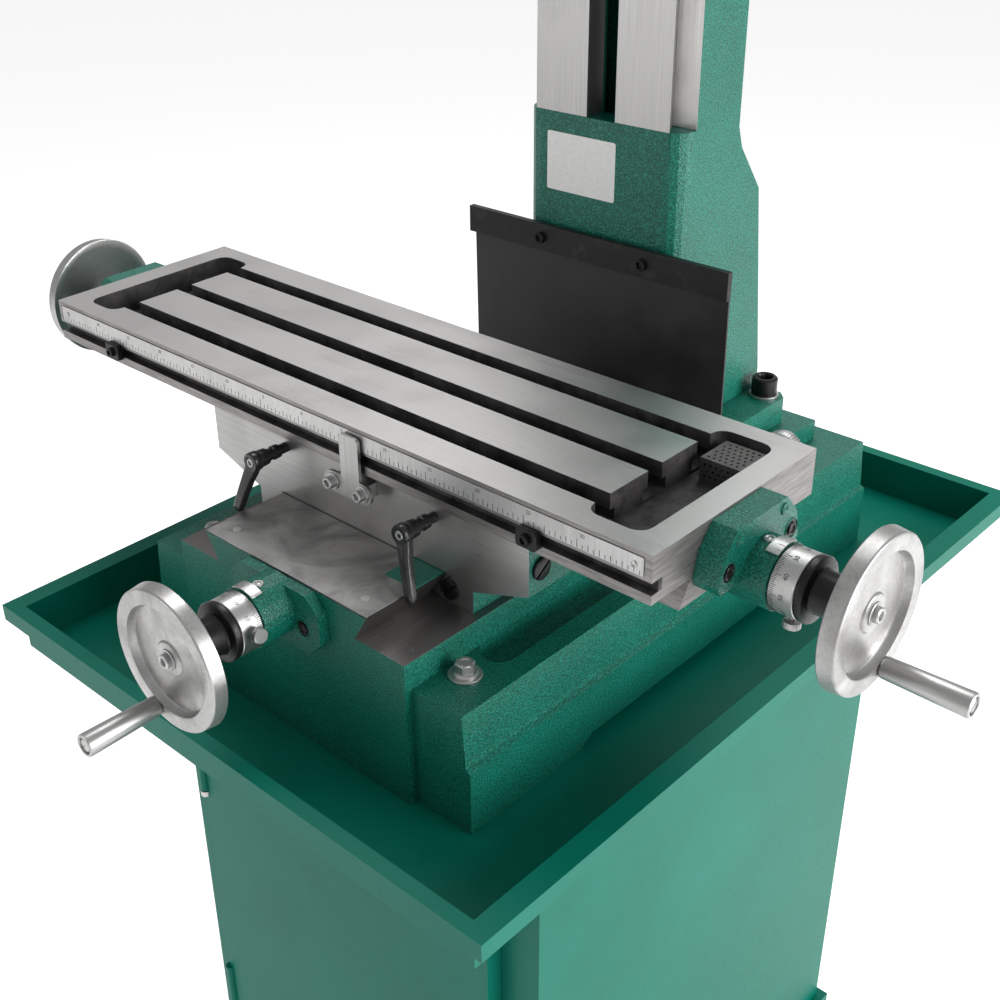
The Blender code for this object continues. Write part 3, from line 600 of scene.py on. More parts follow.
def table_material():
    n = Nodes("Ground_table", STEEL, 0.95, 0.33)
    shade, roughness, lines = steel_parts(n, "x", (0.58, 0.57, 0.565), (0.40, 0.39, 0.385))
    hollow = inside_mask(
        n, (TABLE_X - 360.0, TABLE_FRONT + 15.0, 886.0), (TABLE_X + 360.0, -42.0, TABLE_TOP - 0.4)
    )
    # The front groove is darkened as painted shade, using the dark colour of the troughs.
    groove = inside_mask(n, (None, TABLE_FRONT + 0.4, 888.0), (None, TABLE_FRONT + 12.0, 898.4))
    under = inside_mask(n, (None, None, None), (None, None, 879.6))
    dark = n.math("MAXIMUM", hollow, groove)
    grit = n.noise(260.0, 5.0, 0.7)
    stain = n.noise(35.0, 4.0, 0.6, distortion=0.6)
    # Dark colour for the troughs, which is their own grimy as-cast iron, and for the front groove, where it
    # is painted shade.
    grime_and_groove_shade = n.mix_colour(n.band(stain, 0.35, 0.7), (0.018, 0.017, 0.017), (0.085, 0.080, 0.078))
    body = n.mix_colour(under, shade, (0.22, 0.21, 0.205))
    sides = n.split(n.normal)
    ends = n.math("GREATER_THAN", n.math("ABSOLUTE", sides[0]), 0.8)
    fronts = n.math("GREATER_THAN", n.math("ABSOLUTE", sides[1]), 0.8)
    milled = n.noise(1.0, 3.0, 0.6, n.stretch((40.0, 40.0, 500.0)))
    milled_colour = n.mix_colour(n.band(milled, 0.3, 0.7), (0.30, 0.285, 0.28), (0.17, 0.162, 0.16))
    body = n.mix_colour(n.math("MAXIMUM", ends, fronts), body, milled_colour)
    rough_body = n.mix_value(ends, roughness, 0.55)
    roughness = n.mix_value(dark, rough_body, n.band(grit, 0.3, 0.7, 0.42, 0.72))
    relief = n.mix_value(dark, n.math("MULTIPLY", lines, 0.06), grit)
    metallic = n.mix_value(dark, 0.95, 0.25)
    return n.finish(n.mix_colour(dark, body, grime_and_groove_shade), roughness, n.bump(relief, 0.4, 0.8), metallic)


def cover_material():
    """Sheet steel with soft stains, and paint at the corner beside the right lever."""
    n = Nodes("Way_cover_steel", STEEL_DARK, 0.9, 0.42)
    mask = inside_mask(n, (66.0, -262.0, None), (None, None, None))
    stain = n.noise(16.0, 3.0, 0.5, distortion=2.2)
    brush = n.noise(1.0, 3.0, 0.6, n.stretch((700.0, 18.0, 700.0)))
    steel = n.mix_colour(n.band(stain, 0.40, 0.66), (0.36, 0.355, 0.35), (0.17, 0.168, 0.165))
    steel = n.mix_colour(n.band(brush, 0.3, 0.7, 0.0, 0.25), steel, (0.44, 0.435, 0.43))
    roughness = n.band(stain, 0.3, 0.7, 0.36, 0.50)
    metallic = n.mix_value(mask, 0.9, 0.0)
    return n.finish(n.mix_colour(mask, steel, PAINT), roughness, n.bump(brush, 0.02, 0.4), metallic)


def base_casting_material():
    """Pebbled paint, with ways of dark ground steel that carry bright chips of wear."""
    n = Nodes("Base_casting", PAINT, 0.0, 0.36)
    shade, steel_rough, lines = steel_parts(n, "y", (0.24, 0.232, 0.228), (0.10, 0.096, 0.094))
    chip = n.noise(90.0, 5.0, 0.75)
    shade = n.mix_colour(n.band(chip, 0.64, 0.70, 0.0, 0.8), shade, (0.62, 0.61, 0.60))
    return part_machined(n, base_mask(n), shade, steel_rough, lines, 0.9)


def aluminium(name):
    n = Nodes(name, (0.60, 0.595, 0.585), 0.9, 0.36)
    grain = n.noise(340.0, 4.0, 0.6)
    cloud = n.noise(22.0, 4.0, 0.6, distortion=0.5)
    shade = n.mix_colour(n.band(cloud, 0.35, 0.7), (0.50, 0.495, 0.49), (0.31, 0.305, 0.30))
    shade = n.mix_colour(n.band(grain, 0.45, 0.75, 0.0, 0.35), shade, (0.20, 0.198, 0.195))
    return n.finish(shade, n.band(cloud, 0.3, 0.7, 0.28, 0.46), n.bump(grain, 0.05, 0.5))


def dark_metal(name, colour, roughness, grain_scale=500.0):
    n = Nodes(name, colour, 0.55, roughness)
    grain = n.noise(grain_scale, 3.0)
    worn = n.noise(60.0, 4.0, 0.6)
    pale = tuple(min(1.0, value * 2.2 + 0.015) for value in colour)
    shade = n.mix_colour(n.band(worn, 0.55, 0.78, 0.0, 0.7), colour, pale)
    rough = n.band(grain, 0.3, 0.7, roughness - 0.06, roughness + 0.08)
    return n.finish(shade, rough, n.bump(grain, 0.03, 0.5))


def rubber_material():
    n = Nodes("Black_rubber", (0.012, 0.012, 0.013), 0.0, 0.55)
    grain = n.noise(700.0, 3.0)
    dust = n.noise(12.0, 5.0, 0.65)
    shade = n.mix_colour(n.band(dust, 0.4, 0.8), (0.010, 0.010, 0.011), (0.030, 0.030, 0.031))
    return n.finish(shade, n.band(dust, 0.3, 0.7, 0.44, 0.62), n.bump(grain, 0.04, 0.5))


def plastic(name, colour, roughness=0.3):
    n = Nodes(name, colour, 0.0, roughness)
    grain = n.noise(800.0, 2.0)
    rubbed = n.noise(45.0, 4.0, 0.6, distortion=0.6)
    pale = tuple(min(1.0, value * 1.3 + 0.012) for value in colour)
    shade = n.mix_colour(n.band(rubbed, 0.45, 0.75, 0.0, 0.8), colour, pale)
    rough = n.band(grain, 0.3, 0.7, roughness - 0.05, roughness + 0.07)
    return n.finish(shade, rough, n.bump(grain, 0.02, 0.4))


def clouded(name, metallic, noise, spread, first, second, roughness, depth, strength=0.4):
    """Plain surface whose colour, roughness and height all follow one noise."""
    n = Nodes(name, first, metallic, roughness[0])
    cloud = n.noise(*noise)
    shade = n.mix_colour(n.band(cloud, *spread), first, second)
    return n.finish(shade, n.band(cloud, 0.3, 0.7, *roughness), n.bump(cloud, depth, strength))


MATERIALS = {
    "cast": cast_paint(),
    "sheet": sheet_paint(),
    "base": base_casting_material(),
    "column": machined_casting("Column_casting", column_mask, "z"),
    "saddle": machined_casting("Saddle_casting", saddle_mask, "x"),
    "carriage": machined_casting("Carriage_casting", carriage_mask, "z"),
    "table": table_material(),
    "steel_x": ground_steel("Ground_steel_x", "x"),
    "steel_y": ground_steel("Ground_steel_y", "y"),
    "steel_z": ground_steel("Ground_steel_z", "z"),
    "bright": ground_steel("Bright_steel", "z", (0.56, 0.555, 0.55)),
    "cover": cover_material(),
    "aluminium": aluminium("Cast_aluminium"),
    "black": dark_metal("Black_oxide", (0.014, 0.0135, 0.0135), 0.33),
    "guard": dark_metal("Black_painted_steel", (0.018, 0.018, 0.018), 0.42, 300.0),
    "dull": dark_metal("Dull_strainer", (0.10, 0.098, 0.095), 0.45),
    "rubber": rubber_material(),
    "bronze": clouded(
        "Bronze", 0.95, (40.0, 4.0), (0.35, 0.7), (0.50, 0.31, 0.11), (0.26, 0.15, 0.055), (0.26, 0.42), 0.03
    ),
    "charcoal": dark_metal("Charcoal_paint", (0.03, 0.031, 0.033), 0.4, 600.0),
    "black_plastic": plastic("Black_plastic", (0.012, 0.012, 0.012), 0.25),
    "green_plastic": plastic("Green_plastic", (0.02, 0.28, 0.06), 0.28),
    "red_plastic": plastic("Red_plastic", (0.50, 0.012, 0.012), 0.28),
    "window": clouded(
        "Display_window", 0.0, (25.0, 3.0), (0.4, 0.7), (0.010, 0.012, 0.014), (0.020, 0.022, 0.025),
        (0.05, 0.14), 0.01, 0.3,
    ),
    "ink": clouded(
        "Engraving_ink", 0.0, (500.0, 2.0), (0.4, 0.7), (0.014, 0.014, 0.015), (0.035, 0.034, 0.034),
        (0.42, 0.6), 0.01,
    ),
    "label": clouded(
        "Label_film", 0.0, (300.0, 2.0), (0.3, 0.7), (0.82, 0.82, 0.81), (0.74, 0.74, 0.73), (0.3, 0.42), 0.01
    ),
}

# Each finish is a material and the slot that it goes under
FINISHES = {
    "bright": ("bright", "machined_steel"), "satin": ("bright", "satin_aluminium"),
    "turned_x": ("steel_x", "machined_steel"), "turned_y": ("steel_y", "machined_steel"),
    "aluminium": ("aluminium", "satin_aluminium"), "black": ("black", "black_steel"),
    "dull": ("dull", "black_steel"), "lever": ("black_plastic", "black_steel"),
    "cast": ("cast", "cast_paint"), "charcoal": ("charcoal", "motor_paint"),
    "ink": ("ink", "black_plastic"), "window": ("window", "black_plastic"),
    "black_plastic": ("black_plastic", "black_plastic"), "red_plastic": ("red_plastic", "red_plastic"),
    "label": ("label", "satin_aluminium"),
}

CAD_MATERIALS = {
    "stand_plinth": "sheet", "stand_cabinet": "sheet", "stand_door": "sheet", "chip_tray": "sheet",
    "base_casting": "base", "column_casting": "column", "z_gearbox": "cast",
    "y_screw_bracket": "cast", "x_bracket_right": "cast", "x_bracket_left": "cast",
    "head_casting": "cast", "head_carriage": "carriage", "head_cover": "cast",
    "way_cover": "cover", "saddle_casting": "saddle", "table_casting": "table",
    "guard_bar": "guard", "guard_sheet": "rubber", "saddle_y_gib": "steel_y",
    "saddle_x_gib": "steel_x", "carriage_gib": "steel_z", "y_screw_nut": "bronze",
    "x_screw_nut": "bronze", "z_screw_nut": "bronze", "travel_pointer": "steel_z",
    "clamp_lever_left": "black", "clamp_lever_right": "black", "trough_strainer": "dull",
    "table_scale": "bright", "x_leadscrew": "steel_x", "y_leadscrew": "steel_y",
    "z_leadscrew": "steel_z", "z_crank_shaft": "steel_x", "x_dial": "bright", "y_dial": "bright",
    "x_clutch_hub": "black", "y_clutch_hub": "black", "x_wheel_right": "aluminium",
    "x_wheel_left": "aluminium", "y_wheel": "aluminium", "z_wheel": "aluminium",
    "x_grip_right": "steel_x", "x_grip_left": "steel_x", "y_grip": "steel_y", "z_grip": "steel_x",
    "spindle_motor": "charcoal", "motor_rotor": "steel_z", "drive_gear": "steel_z",
    "quill": "steel_z", "spindle": "bright", "drawbar_cap": "black_plastic",
    "feed_handle": "bright", "quill_lock": "black", "control_box": "charcoal",
    "speed_knob": "black_plastic", "start_button": "green_plastic", "stop_button": "red_plastic",
}

CAD_BEVELS = {
    "base_casting": 2.2, "column_casting": 2.0, "y_screw_bracket": 1.4, "x_bracket_right": 1.6,
    "x_bracket_left": 1.6, "head_casting": 2.0, "head_carriage": 2.0, "head_cover": 1.2,
    "z_gearbox": 2.5, "table_casting": 0.7, "saddle_casting": 1.0, "chip_tray": 0.8,
    "stand_cabinet": 0.8, "stand_door": 1.2, "guard_bar": 0.8, "travel_pointer": 0.5,
    "control_box": 2.5, "trough_strainer": 0.4, "z_screw_nut": 0.6, "x_screw_nut": 0.6,
    "y_screw_nut": 0.6, "stand_plinth": 1.2,
}


def finish_cad_nodes():
    for node, key in CAD_MATERIALS.items():
        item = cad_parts[node]
        if item.material_slots:
            for entry in item.material_slots:
                entry.material = MATERIALS[key]
        else:
            item.data.materials.append(MATERIALS[key])
    for node, width in CAD_BEVELS.items():
        add_bevel(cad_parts[node], width)


# ---------------------------------------------------------------- handwheels

def wheel_profile(face, outward):
    def at(depth):
        return face - outward * depth

    profile = [
        (at(4.6), 8.2), (at(4.6), 14.2), (at(5.4), 15.2), (at(6.4), 15.6), (at(6.4), 17.0),
        (at(6.9), 21.0), (at(7.4), 30.0), (at(7.6), 40.0), (at(7.2), 45.2), (at(5.4), 46.8),
        (at(1.2), 47.6), (at(0.4), 48.0), (at(0.0), 49.0), (at(0.0), 59.4), (at(0.4), 60.6),
        (at(1.2), WHEEL_RADIUS - 0.1), (at(2.6), WHEEL_RADIUS), (at(12.8), WHEEL_RADIUS + 1.1),
        (at(13.6), WHEEL_RADIUS + 0.6), (at(14.0), WHEEL_RADIUS - 0.8), (at(14.0), 55.0),
        (at(13.4), 51.0), (at(12.0), 44.0), (at(11.4), 34.0), (at(11.6), 22.0),
        (at(13.0), 15.0), (at(15.0), 12.4), (at(22.0), 12.0), (at(22.0), 8.2),
    ]
    return profile + [profile[0]]


def grip_profile(face, outward):
    def at(distance):
        return face + outward * distance

    return [
        (at(0.3), 0.0), (at(0.3), 7.4), (at(1.0), 8.2), (at(2.2), 8.5), (at(GRIP_LENGTH * 0.5), 9.2),
        (at(GRIP_LENGTH - 1.6), 9.9), (at(GRIP_LENGTH - 0.5), 9.6), (at(GRIP_LENGTH), 8.9),
        (at(GRIP_LENGTH), 7.4), (at(GRIP_LENGTH - 0.5), 7.0), (at(GRIP_LENGTH - 2.2), 6.8),
        (at(GRIP_LENGTH - 2.2), 0.0),
    ]


def add_slot_screw(builder, axis, centre, seat, outward, radius, height, turn=0.4):
    """Round-headed slotted screw, with the slot between two half domes."""
    half_slot = radius * 0.13
    for side in (-1, 1):
        outline = []
        start = math.asin(half_slot / radius)
        for step in range(13):
            angle = start + (math.pi - 2.0 * start) * step / 12
            outline.append((math.cos(angle) * radius, side * math.sin(angle) * radius))
        rings = []
        for distance, scale in ((0.55, 1.0), (0.8, 1.0), (1.0, 0.86)):
            ring = []
            for a, b in outline:
                a, b = a * scale, side * max(abs(b) * scale, half_slot)
                first = centre[0] + a * math.cos(turn) - b * math.sin(turn)
                second = centre[1] + a * math.sin(turn) + b * math.cos(turn)
                ring.append(place(axis, seat + outward * height * distance, first, second))
            rings.append(ring)
        loft(builder, rings)
    rings = [
        circle(axis, seat, centre, radius, 36),
        circle(axis, seat + outward * height * 0.55, centre, radius, 36),
    ]
    loft(builder, rings)


def build_wheel_set(label, axis, centre, face, outward, body, handle_body, node, grip_node, grip_centre):
    """Handwheel with its hub screw, and the turning handle with the screw in its end."""
    wheel = turned(
        f"{label}_handwheel", wheel_profile(face, outward), axis, centre, body,
        "aluminium", 128,
    )
    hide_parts(node)
    builder = bmesh.new()
    add_washer(builder, axis, centre, face - outward * 4.6, outward, 4.0, 9.0, 1.2)
    add_cap_screw(builder, axis, centre, face - outward * 3.4, outward, 6.2, 4.2)
    make_piece(f"{label}_hub_screw", builder, body, "bright")
    grip = turned(
        f"{label}_handle", grip_profile(face, outward), axis, grip_centre, handle_body,
        f"turned_{axis}", 48,
    )
    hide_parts(grip_node)
    builder = bmesh.new()
    seat = face + outward * (GRIP_LENGTH - 2.4)
    add_slot_screw(builder, axis, grip_centre, seat, outward, 5.2, 1.8, 0.7)
    make_piece(f"{label}_handle_screw", builder, handle_body, "bright")


def hub_profile(start, outward, end):
    def at(distance):
        return start + outward * distance

    profile = [
        (at(0.0), 8.2), (at(0.0), 24.6), (at(0.8), 25.8), (at(5.6), 26.0), (at(6.6), 25.4),
        (at(7.4), 22.4), (at(7.8), 18.4), (at(9.4), 17.2), (end - outward * 4.0, 16.4),
        (end, 15.2), (end, 8.2),
    ]
    return profile + [profile[0]]


def around(axis, along, centre, radius, angle):
    """Point on a cylinder plus its outward and tangent directions."""
    first = centre[0] + radius * math.cos(angle)
    second = centre[1] + radius * math.sin(angle)
    point = place(axis, along, first, second) / MM
    out = place(axis, 0.0, math.cos(angle), math.sin(angle)).normalized()
    tangent = place(axis, 0.0, -math.sin(angle), math.cos(angle)).normalized()
    return point, out, tangent


def add_tick(builder, point, out, tangent, along, width, length, lift=0.10):
    half = tangent * width / 2.0
    base = [point - half, point + half, point + half + along * length, point - half + along * length]
    low = [(corner - out * 0.2) * MM for corner in base]
    high = [(corner + out * lift) * MM for corner in base]
    loft(builder, [low, high])


def build_dial(label, axis, centre, inner_edge, outward, body):
    """Graduated ring: satin sleeve, fine marks and tens numbers."""
    radius = DIAL_RADIUS
    low, high = sorted((inner_edge, inner_edge + outward * 20.3))
    bore = [(high, 8.3)]
    if axis == "y":
        bore = [(high, 10.4), (high - 6.0, 10.4), (high - 6.0, 8.3)]
    profile = [
        (low, 8.3), (low, radius - 0.6), (low + 0.6, radius), (high - 0.6, radius),
        (high, radius - 0.6), *bore, (low, 8.3),
    ]
    dial = turned(f"{label}_graduated_ring", profile, axis, centre, body, "satin", 96)
    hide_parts(f"{axis}_dial")
    along = place(axis, outward, 0.0, 0.0).normalized()
    marks = bmesh.new()
    numbers = bmesh.new()
    for count in range(100):
        angle = 2.0 * math.pi * count / 100.0 + 0.02
        point, out, tangent = around(axis, inner_edge + outward * 0.5, centre, radius, angle)
        length = 7.0 if count % 10 == 0 else (5.4 if count % 5 == 0 else 4.0)
        add_tick(marks, point, out, tangent, along, 0.42, length)
        if count % 10 == 0:
            spot, out, tangent = around(axis, inner_edge + outward * 11.4, centre, radius, angle)
            up = -along
            right = up.cross(out)
            add_text(numbers, str(count), 5.2, spot, right, up)
    make_piece(f"{label}_dial_marks", marks, body, "ink", False)
    make_piece(f"{label}_dial_numbers", numbers, body, "ink", False)


def build_thumb_screw(label, axis, centre, along, angle, body):
    """Knurled clamping screw that stands out of the dial."""
    start, out, _ = around(axis, along, centre, 25.3, angle)
    builder = bmesh.new()
    up = place(axis, 1.0, 0.0, 0.0).normalized()
    stations = [(start + out * d, w, w) for d, w in ((0.0, 3.6), (5.4, 3.6))]
    add_swept(builder, stations, up, 16, 2.0)
    side, across = bar_frame(out, up)
    rings = []
    for distance, radius in ((5.2, 4.6), (5.8, 6.6), (10.4, 6.6), (11.2, 5.8)):
        ridge = KNURL_RISE if radius > 6.0 else 0.0
        radii = [radius, radius * (1.0 + ridge)] * KNURL_RIDGES
        rings.append(ring_about(start + out * distance, side, across, radii))
    loft(builder, rings)
    make_piece(f"{label}_thumb_screw", builder, body, "aluminium")


def build_index_plate(label, axis, centre, along, outward, angle, body):
    """Short curved index plate on the bracket's barrel, with its zero line and two short marks beside it."""
    builder = bmesh.new()
    spread = 0.46
    radius = BARREL_RADIUS + 0.2
    rings = []
    for distance in (0.0, 11.0):
        inner, outer = [], []
        for step in range(13):
            a = angle - spread + 2.0 * spread * step / 12
            inner.append(around(axis, along + outward * distance, centre, radius, a)[0] * MM)
            outer.append(around(axis, along + outward * distance, centre, radius + 1.1, a)[0] * MM)
        rings.append(inner + list(reversed(outer)))
    loft(builder, rings)
    plate = make_piece(f"{label}_index_plate", builder, body, "bright")
    add_bevel(plate, 0.3)
    marks = bmesh.new()
    direction = place(axis, outward, 0.0, 0.0).normalized()
    point, out, tangent = around(axis, along + outward * 5.0, centre, radius + 1.1, angle + 0.12)
    add_tick(marks, point, out, tangent, direction, 0.45, 5.8)
    for side in (-1, 1):
        turn = angle + 0.12 + side * 0.2
        spot, out, tangent = around(axis, along + outward * 7.6, centre, radius + 1.1, turn)
        add_tick(marks, spot, out, tangent, direction, 0.3, 3.2)
    make_piece(f"{label}_index_marks", marks, body, "ink", False)


def build_oiler(name, start, out, up, body):
    """Small ball oiler: ring with a sprung ball."""
    builder = bmesh.new()
    side, across = bar_frame(out, up)
    rings = []
    ring_and_ball = (
        (-1.0, 4.6), (0.5, 4.6), (0.9, 4.2), (0.9, 2.9), (0.2, 2.3), (0.7, 1.4), (0.9, 0.5),
    )
    for distance, radius in ring_and_ball:
        rings.append(ring_about(start + out * distance, side, across, [radius] * 32))
    loft(builder, rings)
    make_piece(name, builder, body, "bright")


def build_x_drive():
    build_wheel_set(
        "x_right", "x", X_AXIS, X_WHEEL_FACE, 1, "x_screw", "x_right_handle",
        "x_wheel_right", "x_grip_right", (X_AXIS[0] + 16.4, X_AXIS[1] - 51.5),
    )
    build_wheel_set(
        "x_left", "x", X_AXIS, X_LEFT_FACE, -1, "x_screw", "x_left_handle",
        "x_wheel_left", "x_grip_left", (X_AXIS[0] + 46.8, X_AXIS[1] - 27.0),
    )
    hub = turned(
        "x_black_hub", hub_profile(371.9, 1, 403.2), "x", X_AXIS, "x_screw",
        "black", 72,
    )
    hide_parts("x_clutch_hub")
    sleeve = [
        (X_LEFT_FACE + 22.2, 8.2), (X_LEFT_FACE + 22.2, 15.4), (X_LEFT_FACE + 23.6, 16.4),
        (-466.0, 16.4), (-464.0, 15.4), (-464.0, 8.2), (X_LEFT_FACE + 22.2, 8.2),
    ]
    turned("x_left_sleeve", sleeve, "x", X_AXIS, "x_screw", "black", 64)
    build_dial("x_right", "x", X_AXIS, 351.3, 1, "x_screw")
    build_thumb_screw("x_right", "x", X_AXIS, 362.5, math.radians(-98.0), "x_screw")
    build_index_plate("x_right", "x", X_AXIS, 340.0, 1, math.radians(93.0), "table")
    top = Vector((336.0, X_AXIS[0] - 1.5, X_AXIS[1] + BARREL_RADIUS))
    build_oiler("x_right_oiler", top, Vector((0, 0, 1)), Vector((1, 0, 0)), "table")
    build_bracket_fixings("right", 330.6, 1)
    build_bracket_fixings("left", 2.0 * TABLE_X - 330.6, -1)


def build_bracket_fixings(label, face, outward):
    """Two sunk socket screws, shown in their counterbore rings, and two dowel pins."""
    screws = bmesh.new()
    rims = bmesh.new()
    for side in (-1, 1):
        spot = (BRACKET_Y + side * 41.0, 887.5)
        add_counterbore(rims, screws, "x", spot, face, outward, 7.4)
        pin = (BRACKET_Y + side * 28.5, 909.5)
        profile = [
            (face + outward * 0.1, 0.0), (face + outward * 1.0, 2.4), (face + outward * 1.5, 3.4),
            (face + outward * 1.2, 4.4), (face - outward * 0.2, 5.0), (face - outward * 0.2, 0.0),
        ]
        add_turned(rims, profile, "x", pin, 24)
    make_piece(f"x_bracket_screws_{label}", screws, "table", "black")
    make_piece(f"x_bracket_seats_{label}", rims, "table", "cast")


def add_counterbore(rims, screws, axis, centre, face, outward, radius):
    """A painted ring round a dark well with a socket screw low inside it."""
    ring = [
        (face - outward * 0.3, radius + 1.4), (face + outward * 0.7, radius + 0.9),
        (face + outward * 1.0, radius + 0.3), (face + outward * 0.4, radius),
        (face - outward * 0.3, radius), (face - outward * 0.3, radius + 1.4),
    ]
    add_turned(rims, ring, axis, centre, 36)
    well = [
        (face + outward * 0.05, 0.0), (face + outward * 0.05, radius),
        (face + outward * 0.25, radius), (face + outward * 0.25, 0.0),
    ]
    add_turned(screws, well, axis, centre, 36)
    add_cap_screw(screws, axis, centre, face + outward * 0.2, outward, radius * 0.72, 1.6)


def build_y_drive():
    build_wheel_set(
        "y", "y", Y_AXIS, Y_WHEEL_FACE, -1, "y_screw", "y_handle",
        "y_wheel", "y_grip", (-18.5, Y_AXIS[1] - 50.7),
    )
    hub = turned(
        "y_black_hub", hub_profile(-377.3, -1, -413.2), "y", Y_AXIS, "y_screw",
        "black", 72,
    )
    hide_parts("y_clutch_hub")
    build_dial("y", "y", Y_AXIS, -356.5, -1, "y_screw")
    build_thumb_screw("y", "y", Y_AXIS, -367.0, math.radians(8.0), "y_screw")
    build_index_plate("y", "y", Y_AXIS, -345.0, -1, math.radians(88.0), "stand")
    top = Vector((Y_AXIS[0] + 3.0, -341.0, Y_AXIS[1] + BARREL_RADIUS))
    build_oiler("y_oiler", top, Vector((0, 0, 1)), Vector((0, 1, 0)), "stand")
    screws = bmesh.new()
    rims = bmesh.new()
    for x in (-36.0, 36.0):
        add_counterbore(rims, screws, "y", (x, Y_AXIS[1] - 9.0), -325.0, -1, 7.0)
    make_piece("y_bracket_screws", screws, "stand", "black")
    make_piece("y_bracket_seats", rims, "stand", "cast")


def build_z_drive():
    build_wheel_set(
        "z", "x", Z_CRANK_AXIS, Z_WHEEL_FACE, 1, "z_crank", "z_handle",
        "z_wheel", "z_grip", (Z_CRANK_AXIS[0] + 27.0, Z_CRANK_AXIS[1] - 46.8),
    )
    profile = [
        (88.4, 10.6), (88.4, 24.0), (89.4, 25.5), (104.0, 25.5), (105.0, 24.6), (105.0, 10.6),
        (88.4, 10.6),
    ]
    turned("z_dial_ring", profile, "x", Z_CRANK_AXIS, "z_crank", "satin", 96)
    marks = bmesh.new()
    for count in range(50):
        angle = 2.0 * math.pi * count / 50.0
        point, out, tangent = around("x", 89.6, Z_CRANK_AXIS, 25.5, angle)
        add_tick(marks, point, out, tangent, Vector((1, 0, 0)), 0.3, 6.0 if count % 5 == 0 else 4.0)
    make_piece("z_dial_marks", marks, "z_crank", "ink", False)
    spots = [(x, z) for x in (-48.0, 14.0, 76.0) for z in (1775.0, 1715.0)]
    cap_screws("z_gearbox_screws", "stand", "black", "y", spots, BACK_OF_CRANK_HOUSING, 1, 4.2, 3.8)


# ---------------------------------------------------------------- table and saddle

def build_table_scale():
    """Engraved rule on the table's front edge."""
    low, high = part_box("table_scale")
    face = low.y / MM
    left, right = low.x / MM, high.x / MM
    bottom, top = low.z / MM, high.z / MM
    marks = bmesh.new()
    numbers = bmesh.new()
    out = Vector((0, -1, 0))
    across = Vector((1, 0, 0))
    up = Vector((0, 0, 1))
    middle = (left + right) / 2.0
    count = int((right - left) / 2.0 / 5.0)
    for index in range(-count, count + 1):
        x = middle + index * 5.0
        length = 7.0 if index % 10 == 0 else (5.0 if index % 2 == 0 else 3.4)
        add_tick(marks, Vector((x, face, bottom + 0.6)), out, across, up, 0.5, length, 0.08)
        if index % 10 == 0 and abs(index) < count - 1:
            words = str(abs(index) // 2)
            add_text(numbers, words, 4.6, (x + 4.6, face, top - 4.0), (1, 0, 0), (0, 0, 1), 0.08)
    make_piece("table_scale_marks", marks, "table", "ink", False)
    make_piece("table_scale_numbers", numbers, "table", "ink", False)
    screws = bmesh.new()
    for x in (left + 8.0, right - 8.0):
        add_slot_screw(screws, "y", (x, (bottom + top) / 2.0), face, -1, 2.4, 0.9, 0.5)
    make_piece("table_scale_screws", screws, "table", "bright")


def build_table_stops():
    """Two travel stops clamped in the table's front groove."""
    for label, x in (("left", -326.0), ("right", 200.0)):
        builder = bmesh.new()
        outline = rounded_outline((x - 10.0, TABLE_STOP_Z - 8.0), (x + 10.0, TABLE_STOP_Z + 8.0), 3.0)
        add_prism(builder, outline, "y", -243.5, TABLE_FRONT - 0.2)
        block = make_piece(f"table_stop_{label}", builder, "table", "black")
        add_bevel(block, 0.6)
        spots = [(x, TABLE_STOP_Z)]
        cap_screws(f"table_stop_screw_{label}", "table", "black", "y", spots, -243.6, -1, 4.6, 3.6)


def build_strainer():
    """Perforated strainer box in the right trough."""
    low, high = (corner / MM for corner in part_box("trough_strainer"))
    builder = bmesh.new()
    add_box(builder, low, high)
    box = make_piece("strainer_box", builder, "table", "dull", False)
    hollow = bmesh.new()
    add_box(hollow, (low.x + 1.2, low.y + 1.2, low.z - 5.0), (high.x - 1.2, high.y - 1.2, high.z - 1.2))
    holes = bmesh.new()
    for column in range(6):
        for row in range(6):
            shift = 2.4 if row % 2 else 0.0
            x = low.x + 4.4 + column * 5.2 + shift
            y = low.y + 4.4 + row * 5.4
            if x < high.x - 3.0:
                add_prism(holes, octagon((x, y), 1.25), "z", high.z - 4.0, high.z + 3.0)
    front = bmesh.new()
    side = bmesh.new()
    for column in range(6):
        for row in range(3):
            shift = 2.6 if row % 2 else 0.0
            x = low.x + 4.4 + column * 5.2 + shift
            z = low.z + 4.4 + row * 5.0
            if x < high.x - 3.0:
                add_prism(front, octagon((x, z), 1.25), "y", low.y - 3.0, low.y + 4.0)
            y = low.y + 4.4 + column * 5.2 + shift
            if y < high.y - 3.0:
                add_prism(side, octagon((y, z), 1.25), "x", low.x - 3.0, low.x + 4.0)
    carve(box, [hollow, holes, front, side])
    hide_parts("trough_strainer")


def octagon(centre, radius):
    points = []
    for step in range(8):
        angle = math.pi * (step + 0.5) / 4.0
        points.append((centre[0] + radius * math.cos(angle), centre[1] + radius * math.sin(angle)))
    return points


